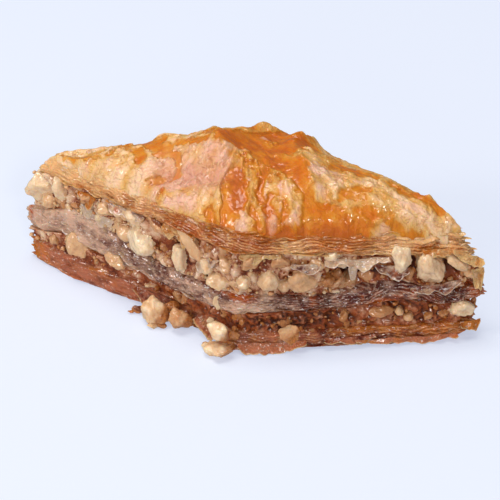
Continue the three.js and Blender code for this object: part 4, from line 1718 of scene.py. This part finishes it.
@dataclass
class NutCourse:
    """A course of chopped nuts bound by syrup: a core, chopped pieces in its side, and crumbs."""

    name: str
    top: Level
    low: Level
    overhang: Field
    seed: int
    heroes: tuple[Hero, ...]
    pieces: int
    piece_size: Pair
    crumbs: int
    crumb_size: Pair
    density: Field
    columns: int = 720
    inset: float = 0.7
    side_rows: int = 26
    stains: tuple[Spot, ...] = ()
    hollows: tuple[Spot, ...] = ()
    syrup: Field = Field((0.0, 0.0, 0.0, 0.0))
    voxel: float = 0.155
    gap_syrup_and_shade: float = 1.0
    triangles: int = 150000
    overlap: float = 0.2

    # Rings across the core's top and underside, as shares of the plan, lumps of the core to a millimetre,
    # places round the side that pieces may take, how much larger the pieces that show are cut, and how deep
    # a gap is that is darkened in full, both as the syrup that fills it and as painted shade.
    RINGS = (0.3, 0.6, 0.84)
    LUMPS = 0.42
    PLACES = 4000
    ENLARGED = 1.1
    GAP_DEPTH = 0.14

    def __post_init__(self) -> None:
        """Starts the noise."""
        self.grain = Grain(self.seed)
        self.cells = Cells(self.seed + 1)

    def _stain(self, points: Points) -> Array:
        """How far syrup has stained the course at each point."""
        s, t = PLAN.shares(points[:, 0], points[:, 1])
        return self.syrup(s, t) + spots_at(self.stains, points) + 0.25 * self.grain.at(points, 0.2, 2)

    def core(self) -> Piece:
        """The crumbs and syrup behind the pieces that show."""
        edge = Edge(self.columns)
        s, t = edge.shares()
        top, low = self.top(s, t), self.low(s, t)
        rows = [edge.row(0.0, self.top(s * ring, t * ring) + self.overlap, ring) for ring in self.RINGS]
        for n in range(self.side_rows):
            down = n / (self.side_rows - 1)
            height = top + self.overlap + (low - top - 2 * self.overlap) * down
            flat = edge.row(0.0, height)
            uneven = 0.5 * self.grain.at(flat, 0.35, 2) + 0.3 * self.grain.at(flat, 1.3, 3, 0.6)
            lump = 1 - self.cells.at(flat + 0.5 * uneven[:, None], self.LUMPS)
            uneven += 1.2 * (lump + 0.5 * (1 - self.cells.at(flat, 0.95)) - 0.6)
            sunk = self.inset + 2.6 * spots_at(self.hollows, flat)
            rows.append(edge.row(self.overhang(s, t) - sunk + uneven, height))
        rows += [edge.row(0.0, self.low(s * ring, t * ring) - self.overlap, ring) for ring in self.RINGS[::-1]]
        piece, _, _ = shell(self.name + "_core", rows)
        points = corners_of(piece) / MM
        # The hollows are painted darker than their stain alone: painted shade deep in them.
        paint(piece, "stain", self._stain(points) + 0.5 * spots_at(self.hollows, points))
        # High on the core's lumps and low between them, where the paste is painted darker, partly as shade.
        paint(piece, "lump", 1 - self.cells.at(points, self.LUMPS))
        return piece

    def _placed_heroes(self, chopped: Sequence[Lump], rounded: Sequence[Lump]) -> list[Chop]:
        """The larger pieces that show on the front faces."""
        chance = np.random.default_rng(self.seed + 5)
        chops = []
        for n, hero in enumerate(self.heroes):
            lumps = chopped if hero.cut is Cut.CHOPPED else rounded
            lump = lumps[n % len(lumps)].fitted(random_turn(chance))
            point, outward = PLAN.on_face(hero.face, hero.along)
            s, t = PLAN.shares(*point)
            point = point + outward * (float(self.overhang(s, t)) + hero.out)
            width, tall, deep = (self.ENLARGED * side for side in hero.size)
            looks = (hero.tilt, hero.skin, hero.tint, hero.stain)
            middle, size = (*point, hero.height), (width, deep, tall)
            chops.append(Chop(lump, middle, size, tuple(outward), np.eye(3), *looks))
        return chops

    def _placed_pieces(
        self, lumps: Sequence[Lump], count: int, sizes: Pair, sunk: Pair, seed: int
    ) -> list[Chop]:
        """Pieces strewn all round the side.

        Args:
            lumps: the meshes to choose from.
            count: how many.
            sizes: the least and the greatest size.
            sunk: how far inside the side their middles lie, at least and at most.
            seed: what they repeat from.

        Returns:
            The placed pieces.
        """
        chance = np.random.default_rng(seed)
        all_s, all_t = Edge(self.PLACES).shares()
        plan = PLAN.place(all_s, all_t)
        run = np.roll(plan, -3, 0) - np.roll(plan, 3, 0)
        outward = np.column_stack([run[:, 1], -run[:, 0]]) / np.linalg.norm(run, axis=1, keepdims=True)
        heroes = [(np.array([*PLAN.on_face(h.face, h.along)[0], h.height]), max(h.size)) for h in self.heroes]
        chops = []
        for n in range(count):
            k = int((n + chance.random()) / count * self.PLACES) % self.PLACES
            s, t = all_s[k], all_t[k]
            low, high = float(self.low(s, t)), float(self.top(s, t))
            size = sizes[0] + (sizes[1] - sizes[0]) * chance.random() ** 1.5
            size = min(size, 1.25 * (high - low))
            reach = min(0.34 * size, (high - low) / 2)
            height = chance.uniform(low + reach, high - reach)
            spot = np.array([*plan[k], height])
            hollow = spots_at(self.hollows, spot[None, :])[0]
            sink = chance.uniform(*sunk) + 2.2 * hollow
            spot[:2] += outward[k] * (float(self.overhang(s, t)) - sink)
            shape = tuple(size * chance.uniform(*sides) for sides in ((0.9, 1.35), (0.8, 1.1), (0.7, 1.05)))
            turn, tilt = random_turn(chance), chance.uniform(0, 360)
            which, barked, tint, soak, rank = chance.random(5)
            if rank > float(self.density(s, t)) * (1 - min(1.4 * hollow, 0.95)):
                continue
            if any(np.linalg.norm(spot - other) < 0.4 * (wide + size) for other, wide in heroes):
                continue
            lump = lumps[int(which * len(lumps))]
            looks = (float(barked < 0.3), tint, 0.7 * soak**2 + self._stain(spot[None, :])[0])
            chops.append(Chop(lump, tuple(spot), shape, tuple(outward[k]), turn, tilt, *looks))
        return chops

    def bound(self, lumps: "LumpBox") -> Piece:
        """The core with the pieces sunk in it, run together where they meet.

        Args:
            lumps: the meshes to place.

        Returns:
            The new object.
        """
        core = self.core()
        placed = self._placed_pieces(lumps.middling, self.pieces, self.piece_size, (0.5, 1.5), self.seed + 6)
        nuts = strew(self.name, self._placed_heroes(lumps.large, lumps.balls) + placed)
        for piece, is_nut in ((core, 0.0), (nuts, 1.0)):
            paint(piece, "nut", np.full(len(piece.data.vertices), is_nut))
        piece = join([core, nuts], self.name)
        source = corners_of(piece)
        values = {name: painted_on(piece, name) for name in ("nut", "stain", "tint", "skin", "lump")}
        apply_modifier(piece, "REMESH", mode="VOXEL", voxel_size=self.voxel * MM)
        apply_modifier(piece, "SMOOTH", factor=0.5, iterations=1)
        values = carried(piece, source, values)
        # Crevices between the pieces take more stain, for the syrup that fills them and as painted shade;
        # crests take a little less and come out paler.
        gaps = crevices(piece, 8)
        stained = self.gap_syrup_and_shade * np.clip(gaps / self.GAP_DEPTH, -0.25, 1.5)
        values["stain"] = softened(piece, values["stain"], 2) + stained
        values["nut"] = softened(piece, values["nut"], 1)
        source = corners_of(piece)
        share = self.triangles / (2 * len(piece.data.polygons))
        if share < 1:
            apply_modifier(piece, "DECIMATE", ratio=share)
            values = carried(piece, source, values)
        for name, given in values.items():
            paint(piece, name, given)
        smooth(piece)
        return piece

    def loose(self, lumps: "LumpBox") -> Piece:
        """The crumbs on the side."""
        crumbs = self._placed_pieces(lumps.fine, self.crumbs, self.crumb_size, (0.0, 0.8), self.seed + 7)
        piece = strew(self.name + "_crumbs", crumbs)
        smooth(piece, 50)
        return piece


@dataclass
class LumpBox:
    """The meshes that chopped nuts are placed from."""

    large: Sequence[Lump] = ()
    balls: Sequence[Lump] = ()
    middling: Sequence[Lump] = ()
    fine: Sequence[Lump] = ()

    def __post_init__(self) -> None:
        """Cuts every mesh."""
        large = NutCutter(SEED + 400, 3, 7, 0.24, 0.04, 0.19, 0.1)
        balls = NutCutter(SEED + 450, 3, 3, 0.38, 0.05, 0.13, 0.07)
        middling = NutCutter(SEED + 500, 3, 6, 0.22, 0.1, 0.24, 0.1)
        fine = NutCutter(SEED + 600, 1, 3, 0.28, 0.0, 0.2)
        self.large = [large.cut(n) for n in range(10)]
        self.balls = [balls.cut(n) for n in range(4)]
        self.middling = [middling.cut(n) for n in range(10)]
        self.fine = [fine.cut(n) for n in range(6)]


# -------- chunks at the foot


@dataclass(frozen=True)
class FootChunk:
    """A chunk of nut that stands at the foot, in the place of its solid."""

    node: str
    tint: float
    skin: float
    stain: float
    grow: Triple = (1.0, 1.0, 1.0)
    shift: Triple = (0.0, 0.0, 0.0)
    cuts: int = 3
    seed: int = 0

    VOXEL = 0.16
    ROUNDING = 8

    def model(self) -> Piece:
        """Breaks, rounds and roughens a copy of the solid."""
        deselect()
        piece = linked(self.node + "_dressed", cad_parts[self.node].data.copy())
        points = corners_of(piece) / MM
        middle = (points.max(0) + points.min(0)) / 2
        half = (points.max(0) - points.min(0)) / 2
        points = middle + (points - middle) * self.grow + self.shift
        points[:, 2] = np.clip(points[:, 2], 0.0, None)
        move_corners(piece, points)
        chance = np.random.default_rng(SEED + 800 + self.seed)
        activate(piece)
        bpy.ops.object.mode_set(mode="EDIT")
        bpy.ops.mesh.select_all(action="SELECT")
        bpy.ops.mesh.remove_doubles(threshold=0.01 * MM)
        for _ in range(self.cuts):
            facing = Vector(chance.normal(size=3)).normalized()
            reach = float(np.abs(np.array(facing) * half).max())
            slice_off((Vector(middle + self.shift) + facing * reach * chance.uniform(0.7, 0.95)) * MM, facing)
        bpy.ops.mesh.select_all(action="SELECT")
        bpy.ops.mesh.dissolve_limited(angle_limit=math.radians(4))
        bpy.ops.object.mode_set(mode="OBJECT")
        apply_modifier(piece, "REMESH", mode="VOXEL", voxel_size=self.VOXEL * MM)
        apply_modifier(piece, "SMOOTH", factor=0.5, iterations=self.ROUNDING)
        points = corners_of(piece) / MM
        grain = Grain(SEED + 820 + self.seed)
        rough = 0.32 * grain.at(points, 0.5, 3) + 0.07 * grain.at(points, 1.6, 2)
        moved = points + normals_of(piece) * rough[:, None]
        moved[:, 2] = np.clip(moved[:, 2], 0.0, None)
        move_corners(piece, moved)
        # The skin and the syrup colour are painted on towards the chunk's right and lower side.
        side = (moved - moved.mean(0)) @ np.array([0.8, 0.2, -0.5])
        paint(piece, "skin", self.skin * ease(side, 0.3, 1.6))
        paint(piece, "tint", self.tint + 0.4 * grain.at(moved + 8, 0.5, 2))
        paint(piece, "stain", 0.2 + self.stain * ease(side, -0.2, 1.2))
        smooth(piece)
        return piece


@dataclass(frozen=True)
class Crumb:
    """A crumb of nut or brown leaf by the foot."""

    place: Triple
    size: Triple
    tint: float
    stain: float
    skin: float = 0.0


FOOT_CRUMBS = (
    Crumb((-17, -10.2, 0.8), (2.8, 1.6, 1.5), 0.1, 1, 1),
    Crumb((-18.2, -10.8, 0.4), (1, 0.7, 0.6), 0.1, 1, 1),
    Crumb((-15.8, -9.8, 1.2), (1.4, 1.2, 1), 0.4, 1),
    Crumb((-13, -13.6, 0.5), (2.2, 1.6, 1.3), 0.8, 0.4),
    Crumb((-11.4, -13.4, 0.6), (1.8, 1.3, 1.2), 0.5, 1),
    Crumb((-10.6, -11, 3.2), (3, 2, 2.2), 0.3, 1.2),
    Crumb((-7.2, -11.4, 0.7), (2.2, 1.5, 1.4), 0.4, 1),
    Crumb((-6.6, -10.6, 2), (2.4, 1.6, 2), 0.2, 1.3),
    Crumb((-3.6, -12.6, 2.2), (1.8, 1.6, 2.4), 0.4, 1),
    Crumb((-2.6, -13.6, 3.8), (1.6, 1.4, 1.6), 0.9, 0.3),
    Crumb((1.6, -16.6, 1.2), (2.8, 1.8, 2), 0.4, 1.2),
    Crumb((2.4, -15.8, 3), (2.2, 1.6, 1.8), 0.5, 1),
    Crumb((-2.4, -16.6, 0.6), (1.8, 1.4, 1.2), 0.9, 0.3),
    Crumb((4.4, -15.4, 0.5), (1.6, 1.1, 1), 0.6, 1),
    Crumb((7.6, -14.2, 0.4), (1.4, 1, 0.8), 0.7, 0.8),
    Crumb((10.4, -13.2, 0.6), (3, 1.2, 1.3), 0.5, 0.9),
    Crumb((12, -12.2, 0.5), (1.6, 1, 1), 0.5, 1),
)


def foot_crumbs(lumps: "LumpBox") -> Piece:
    """All the crumbs by the foot."""
    chance = np.random.default_rng(SEED + 900)
    outward = (0.3, -0.95)
    chops = []
    for n, crumb in enumerate(FOOT_CRUMBS):
        lump = lumps.large[(3 * n + 1) % len(lumps.large)]
        looks = (0.0, crumb.skin, crumb.tint, crumb.stain)
        chops.append(Chop(lump, crumb.place, crumb.size, outward, random_turn(chance), *looks))
    piece = strew("foot_crumbs", chops)
    points = corners_of(piece) / MM
    points[:, 2] = np.clip(points[:, 2], 0.02, None)
    move_corners(piece, points)
    smooth(piece, 45)
    return piece


# -------- studio


@dataclass(frozen=True)
class Studio:
    """The floor, the lights and the camera."""

    azimuth: float = 18.1
    elevation: float = 32.0
    distance: float = 0.42
    look: Triple = (-0.000052, 0.001519, 0.012)
    lens: float = 173.88
    shift: Pair = (-0.004, -0.0264)

    AIM = (0, 0, 0.015)
    WARM_WHITE = (1.0, 0.96, 0.92)

    def camera(self) -> None:
        """The camera, which becomes the scene's own."""
        turn, rise = math.radians(self.azimuth), math.radians(self.elevation)
        back = Vector((math.sin(turn) * math.cos(rise), -math.cos(turn) * math.cos(rise), math.sin(rise)))
        data = bpy.data.cameras.new("camera")
        data.lens = self.lens
        data.sensor_width = 36.0
        data.shift_x, data.shift_y = self.shift
        data.clip_start = 0.01
        piece = linked("camera", data)
        piece.location = Vector(self.look) + back * self.distance
        piece.rotation_euler = back.to_track_quat("Z", "Y").to_euler()
        bpy.context.scene.camera = piece

    @staticmethod
    def floor() -> None:
        """A wide pale floor under the piece."""
        piece = primitive("floor", bpy.ops.mesh.primitive_plane_add, size=6.0)
        FloorFinish().shader().dress(piece)
        piece.visible_glossy = False

    @staticmethod
    def softbox(name: str, place: tuple, size: float, power: float, colour: tuple = (1, 1, 1)) -> None:
        """A square area light that faces the piece.

        Args:
            name: its name.
            place: where it hangs, in metres.
            size: its side.
            power: in watts.
            colour: its light.
        """
        data = bpy.data.lights.new(name, "AREA")
        data.shape = "SQUARE"
        data.size = size
        data.energy = power
        data.color = colour
        piece = linked(name, data)
        piece.location = Vector(place)
        piece.rotation_euler = (Vector(place) - Vector(Studio.AIM)).to_track_quat("Z", "Y").to_euler()

    def lights(self) -> None:
        """Soft light from above and behind, a fill from the front, and a pale room."""
        self.softbox("softbox_top", (-0.12, -0.02, 0.8), 0.42, 4.3)
        self.softbox("softbox_left", (-0.6, -0.6, 0.4), 0.2, 3.1, self.WARM_WHITE)
        self.softbox("softbox_front", (0.4, -0.7, 0.5), 0.1, 1.9, self.WARM_WHITE)
        self.softbox("softbox_low", (0.1, -0.85, 0.3), 0.12, 0.7)
        world = bpy.data.worlds.new("room")
        world.use_nodes = True
        background = world.node_tree.nodes["Background"]
        background.inputs["Color"].default_value = (1.0, 0.98, 0.97, 1.0)
        background.inputs["Strength"].default_value = 0.24
        bpy.context.scene.world = world
        bpy.context.scene.view_settings.view_transform = "Standard"


# -------- the piece


@dataclass
class Baklava:
    """Builds every course and dresses it."""

    def __post_init__(self) -> None:
        """Makes the finishes."""
        self.crust_finish = CrustFinish().shader()
        # The filo finishes below carry painted glints and painted shade in the gaps between leaves.
        self.middle_finish = FiloFinish(
            "soaked_finish", light=tone(230, 184, 154), deep=tone(88, 26, 12), warm=tone(188, 84, 20),
            line=tone(240, 204, 180), gap_shade=tone(84, 26, 14), painted_glint=tone(246, 226, 216), marked=0.6,
            painted_glint_amount=0.75,
        ).shader()
        self.base_finish = FiloFinish(
            "base_finish", light=tone(198, 116, 82), deep=tone(108, 34, 10), warm=tone(210, 118, 40),
            line=tone(248, 200, 146), gap_shade=tone(96, 34, 12), painted_glint=tone(244, 208, 190), painted_glint_amount=0.65,
        ).shader()
        self.rim_finish = FiloFinish(
            "rim_finish", light=tone(246, 184, 124), deep=tone(172, 80, 16), warm=tone(202, 110, 32),
            line=tone(242, 188, 130), gap_shade=tone(134, 56, 18), painted_glint=tone(250, 216, 176), painted_glint_amount=0.4,
            wet=0.6, marked=0.8, run=(0.6, 0.6, 2.0),
        ).shader()
        self.nut_finish = NutFinish().shader()
        self.course_finish = CourseFinish().shader()
        self.lumps = LumpBox()

    @staticmethod
    def settle(piece: Piece, finish: Shader, slot: str, node: Optional[str] = None) -> None:
        """Dresses a piece, fixes it to the body, hides the solid that it replaces and logs its faces.

        Args:
            piece: the piece.
            finish: its material.
            slot: not used.
            node: the solid that it replaces.
        """
        finish.dress(piece)
        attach(piece, "root")
        if node:
            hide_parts(node)
        LOG.info("%s: %d faces", piece.name, len(piece.data.polygons))

    def settle_stack(
        self, stack: FiloStack, flaps: Sequence[Flap], first: int, finish: Shader, slot: str, node: str
    ) -> None:
        """Builds and settles a stack of filo, its loose leaves and the torn leaves that hang on it.

        Args:
            stack: the stack.
            flaps: the torn leaves.
            first: the number of the first torn leaf, for its noise.
            finish: the material of all.
            slot: not used; it is passed on to settle, which ignores it.
            node: the solid that they replace.
        """
        self.settle(stack.body(), finish, slot, node)
        self.settle(stack.loose_leaves(), finish, slot, node)
        torn = [flap.sheet(first + n) for n, flap in enumerate(flaps)]
        self.settle(join(torn, node.replace("filo_", "") + "_flaps"), finish, slot, node)

    def crust(self) -> None:
        """The top with its rim of leaves."""
        self.settle(Crust().skin(), self.crust_finish, "crust", "filo_crust")
        # The rim's right corner is painted paler in its shade field: painted light for the far end of the right
        # face, which should look more strongly lit.
        rim = FiloStack(
            "crust_rim", top=RIM_TOP, low=lambda s, t: UPPER_NUTS_TOP(s, t) - 0.15, overhang=CRUST_OVERHANG,
            leaves=6, seed=SEED + 10, side_rows=44, ply=8, ridges=0.2, steps=0.5, lumpy=0.4, wave=0.9,
            flare=0.3, setback=1.5, tips=0.25, bend=2.2, plain=0.32, marking=Field((0.12, 0.7, 0.75, 1.0)),
            pale=0.7, layering=0.25, thickness=0.1, depth=1.8, shade=Field((0.12, 0.75, -0.2, 0.5)),
            shades=RIM_SHADES_AND_PAINTED_LIGHT, warm=RIM_STAINS,
        )
        self.settle_stack(rim, GOLDEN_FLAPS, 20, self.rim_finish, "crust", "filo_crust")

    def middle(self) -> None:
        """The soaked filo between the two courses of nuts."""
        stack = FiloStack(
            "middle", top=lambda s, t: MIDDLE_TOP(s, t) + SOAKED_RISE(s, t), low=LOWER_NUTS_TOP,
            overhang=MIDDLE_OVERHANG, leaves=3, seed=SEED + 20, side_rows=40, bend=2.8,
            marking=Field((0.1, 0.4, 1.0, 0.8), rises=(Rise(LEFT, 0.0, -0.2, 0.5),)), wave=1.2, flare=0.1,
            inset=0.1, ply=6, ridges=0.25, steps=0.2, lumpy=0.55, thickness=0.1, pale=0.55, layering=0.3,
            shade=Field((0.1, 0.75, 1.0, 0.4)), shades=MIDDLE_SHADES, warm=MIDDLE_STAINS,
        )
        self.settle_stack(stack, SOAKED_FLAPS, 0, self.middle_finish, "soaked_filo", "filo_middle")

    def base(self) -> None:
        """The stack that the piece stands on."""
        stack = FiloStack(
            "base", top=BASE_TOP, low=base_foot, overhang=BASE_OVERHANG, leaves=3, seed=SEED + 30,
            side_rows=30, wave=0.4, flare=0.3, inset=0.1, hem=0.4, turned_under=0.4, ply=6, bend=2.2,
            marking=Field((0.1, 0.6, 0.9, 0.7), rises=(Rise(LEFT, 0.0, -0.2, 0.5),)), lumpy=0.4, pale=0.6,
            layering=0.3, warmth=0.15, warm=BASE_STAINS, shades=BASE_PAINTED_GLINTS,
            shade=Field((0.15, 0.5, 0.9, 0.4)),
        )
        self.settle_stack(stack, BASE_FLAPS, 40, self.base_finish, "base_filo", "filo_base")

    def nuts(self) -> None:
        """Both courses of nuts."""
        upper = NutCourse(
            "upper_nuts", top=UPPER_NUTS_TOP, low=MIDDLE_TOP, overhang=NO_OVERHANG, seed=SEED + 40,
            heroes=UPPER_HEROES, pieces=340, piece_size=(1.2, 4.2), crumbs=900, crumb_size=(0.4, 1.1),
            density=Field((1.0, 0.9, 0.9, 1.0)), hollows=UPPER_HOLLOWS, stains=UPPER_STAINS_AND_SHADE,
            syrup=Field((-0.15, 0.15, 0.6, 0.2)),
        )
        lower = NutCourse(
            "lower_nuts", top=LOWER_NUTS_TOP, low=BASE_TOP, overhang=LOWER_NUTS_OVERHANG, seed=SEED + 50,
            heroes=LOWER_HEROES, pieces=150, piece_size=(1.0, 2.6), crumbs=240, crumb_size=(0.4, 1.1),
            density=Field((0.25, 0.5, 0.8, 0.8)), stains=LOWER_STAINS, syrup=Field((0.4, 1.0, 1.2, 0.6)),
        )
        for course, node in ((upper, "nuts_upper"), (lower, "nuts_lower")):
            self.settle(course.bound(self.lumps), self.course_finish, "nut", node)
            self.settle(course.loose(self.lumps), self.nut_finish, "nut", node)

    def foot(self) -> None:
        """The chunks at the foot."""
        chunks = (
            FootChunk("nut_chunk_left", 0.8, 0.0, 1.1, (1.15, 1.1, 1.06), (0.1, 0.0, 0.0), cuts=1, seed=1),
            FootChunk("nut_chunk_left_small", 0.4, 0.0, 1.3, (1.5, 1.2, 1.3), (0.0, 0.2, 0.3), cuts=6, seed=2),
            FootChunk("nut_chunk_corner", 0.85, 0.0, 0.8, (1.05, 1.0, 0.95), (0.2, 0.2, 0.3), seed=3),
            FootChunk("nut_chunk_corner_top", 0.95, 0.0, 0.8, (1.3, 1.1, 1.0), (0.5, 0.3, 0.0), seed=4),
            FootChunk("nut_flake_right", 0.2, 0.0, 1.2, (1.0, 0.4, 1.0), (0.0, 0.1, 0.3), cuts=1, seed=5),
        )
        for chunk in chunks:
            self.settle(chunk.model(), self.nut_finish, "nut", chunk.node)
        self.settle(foot_crumbs(self.lumps), self.nut_finish, "nut")


# Darker and paler spots on the rim. The two pale spots at the far end of the right face are painted light: they
# lighten a stretch that should look more strongly lit.
RIM_SHADES_AND_PAINTED_LIGHT = (
    Spot(RIGHT, 20, 20.4, 7, 1.6, 0.6), Spot(RIGHT, 11, 20, 4, 2, -0.4),
    Spot(RIGHT, 36, 19, 8, 2.6, -0.7), Spot(RIGHT, 42, 19, 5, 3, -0.8),
    Spot(LEFT, 10, 20.4, 5, 1.6, 0.5), Spot(LEFT, 44, 20, 8, 3, -0.5),
)
RIM_STAINS = (
    Spot(RIGHT, 18, 22.6, 8, 0.9, 0.8), Spot(RIGHT, 6, 22.8, 8, 0.6, 0.7),
    Spot(RIGHT, 33, 18.4, 3, 0.8, 0.7), Spot(RIGHT, 18, 20.5, 12, 2.4, 0.65),
    Spot(RIGHT, 41, 19, 6, 3, 0.5), Spot(LEFT, 34, 19.4, 3, 0.8, 0.8),
)
MIDDLE_SHADES = (
    Spot(RIGHT, 4, 8.4, 3.4, 1.2, -0.7), Spot(LEFT, 6, 9, 5, 3, -0.25),
    Spot(LEFT, 19, 9, 6, 3, 0.25), Spot(RIGHT, 30, 9.6, 3, 1.6, -0.2),
)
MIDDLE_STAINS = (
    Spot(RIGHT, 1.6, 11.2, 2.6, 1.3, 0.9), Spot(LEFT, 0.6, 11, 1.6, 1.6, 0.6),
    Spot(RIGHT, 43, 10.6, 2.4, 3, 0.8), Spot(RIGHT, 32, 9, 14, 3, 0.4),
    Spot(RIGHT, 14, 8.4, 8, 2.4, 0.15), Spot(RIGHT, 26, 8.4, 2, 1, 0.6),
    Spot(LEFT, 47.6, 9.4, 1.6, 2.4, 0.4),
)
# Paler spots on the base: painted glints, where it should look wet and bright.
BASE_PAINTED_GLINTS = (
    Spot(LEFT, 19, 3.4, 6, 1.8, -0.7), Spot(RIGHT, 6, 2.4, 8, 2, -0.35),
)
BASE_STAINS = (
    Spot(LEFT, 47, 2, 4, 3, 0.8), Spot(LEFT, 32, 3.6, 5, 1, 0.3),
    Spot(RIGHT, 38, 2.4, 9, 3, 0.55), Spot(RIGHT, 24, 3.2, 7, 1.2, 0.6),
    Spot(RIGHT, 4, 3, 5, 2, 0.3),
)
UPPER_HEROES = (
    Hero(LEFT, 21, 14.2, (6.2, 5.4, 4.6), tint=1.1, out=-0.5),
    Hero(LEFT, 12, 14, (2, 5.2, 3.2), tint=1, tilt=8),
    Hero(LEFT, 17.2, 18.9, (5, 2.4, 3), tint=0.3, skin=1, tilt=-18),
    Hero(LEFT, 46, 15, (5.2, 5.6, 4), tint=1),
    Hero(LEFT, 43.6, 13.2, (3, 2.8, 3.4), tint=0.7, cut=Cut.ROUND),
    Hero(LEFT, 40.4, 16.8, (2.4, 4.6, 3.4), tint=0.95, tilt=30),
    Hero(LEFT, 24.8, 13.8, (3.2, 3, 3), tint=0.75, cut=Cut.ROUND),
    Hero(LEFT, 22.4, 18, (3.8, 2.4, 3), tint=0.85, tilt=-14),
    Hero(LEFT, 9.6, 18.2, (6.6, 2.6, 3), tint=0.6, tilt=-50),
    Hero(LEFT, 6, 14.8, (3.6, 2.8, 3.2), tint=0.9),
    Hero(LEFT, 3.4, 13, (4.4, 2.6, 3.4), tint=0.85, out=-0.5),
    Hero(LEFT, 29.6, 16.8, (3.2, 2.8, 3), tint=0.7),
    Hero(LEFT, 33.6, 17.6, (2.6, 2.6, 3), tint=0.5, stain=0.9),
    Hero(LEFT, 3.5, 8.6, (1.6, 2.8, 1.8), tint=1, out=-0.2),
    Hero(RIGHT, 6.1, 14, (3.4, 3.8, 3.8), cut=Cut.ROUND, tint=0.8, out=-0.5),
    Hero(RIGHT, 1.9, 13.7, (2.2, 2.4, 2.8), cut=Cut.ROUND, tint=0.85, out=-0.3),
    Hero(RIGHT, 8.9, 12.7, (2.2, 2.2, 2.6), cut=Cut.ROUND, tint=0.7),
    Hero(RIGHT, 11.8, 13.6, (5, 4, 3.6), tint=0.55),
    Hero(RIGHT, 8.2, 17.9, (3.2, 2.8, 3), tint=0.3, stain=0.4),
    Hero(RIGHT, 3.2, 17.6, (2.8, 3, 3), tint=0.4, stain=0.6),
    Hero(RIGHT, 16.8, 18, (2.8, 2.2, 2.6), tint=1),
    Hero(RIGHT, 14.4, 16.6, (2.6, 2.2, 2.6), tint=0.6),
    Hero(RIGHT, 19.6, 11.8, (3.6, 3.4, 3), tint=0.35, out=-2.6),
    Hero(RIGHT, 23.2, 12.6, (3, 2.6, 3), tint=0.3, out=-2.8, stain=0.4),
    Hero(RIGHT, 28.6, 16.8, (3.4, 4.8, 3.2), tint=1, out=-0.3),
    Hero(RIGHT, 33.7, 14.4, (4.6, 6.4, 4.4), tint=0.9, out=-1, tilt=12, stain=0.4),
    Hero(RIGHT, 38.5, 15.2, (4.6, 1.9, 3), tint=0.8, out=-0.4, tilt=-28),
    Hero(RIGHT, 41.6, 13, (3, 2.2, 3), tint=0.6, tilt=-20, stain=0.4),
)
LOWER_HEROES = (
    Hero(LEFT, 36.3, 7.6, (5, 4.2, 3.4), tint=0.6, stain=0.2, out=-0.8),
    Hero(LEFT, 27.1, 7.6, (4.4, 3.2, 3.4), tint=0.6, out=-0.7),
    Hero(RIGHT, 39.8, 6.2, (4, 3.2, 3.4), tint=0.95, out=-0.3),
    Hero(RIGHT, 28.6, 6.3, (1.5, 1.4, 1.8), cut=Cut.ROUND, tint=0.7, out=-0.2),
    Hero(RIGHT, 30.2, 5, (1.6, 1.5, 1.8), cut=Cut.ROUND, tint=0.5, stain=0.5, out=-0.2),
    Hero(RIGHT, 25.4, 6.4, (4, 1.8, 2.4), tint=0.2, stain=0.3, out=-0.4),
)
LOWER_STAINS = (
    Spot(RIGHT, 10, 5.4, 8, 2, 0.5), Spot(RIGHT, 39, 6.6, 3, 2, -0.5),
    Spot(LEFT, 10, 5.4, 5, 2, 0.4),
)
UPPER_HOLLOWS = (
    Spot(LEFT, 15.2, 15.4, 1.6, 1.8), Spot(LEFT, 27.6, 17.4, 1.4, 1),
    Spot(LEFT, 8, 13.8, 1.2, 1.4), Spot(RIGHT, 21.6, 13.6, 4.4, 1.9),
    Spot(RIGHT, 25, 18.2, 2.4, 0.9), Spot(RIGHT, 31.2, 16.6, 1.2, 2),
    Spot(RIGHT, 36.8, 15.6, 1.6, 1.8), Spot(RIGHT, 1, 18.4, 1.6, 1, 0.6),
)
# Syrup stains on the upper course. The strong ones, in its hollows, darken them as painted shade as well as
# syrup.
UPPER_STAINS_AND_SHADE = (
    Spot(RIGHT, 35, 15.4, 6, 3, 1.3), Spot(RIGHT, 4, 18.6, 4, 1.6, 0.6),
    Spot(LEFT, 15, 15, 2.6, 2.4, 0.8), Spot(LEFT, 33, 17.8, 3, 1.4, 0.9),
    Spot(RIGHT, 22, 14.2, 5, 1.7, 1.5), Spot(RIGHT, 26, 18.4, 2, 0.8, 1.3),
    Spot(RIGHT, 31.2, 16.6, 1, 2, 1.3), Spot(LEFT, 15.4, 15.2, 1.4, 1.6, 1.2),
    Spot(LEFT, 8.2, 13.6, 1, 1, 1),
)


def main() -> None:
    """Builds the piece, course by course, and the studio around it."""
    logging.basicConfig(level=logging.INFO)
    baklava = Baklava()
    baklava.base()
    baklava.middle()
    baklava.crust()
    baklava.nuts()
    baklava.foot()
    studio = Studio()
    studio.floor()
    studio.lights()
    studio.camera()


if __name__ == "__main__":
    main()
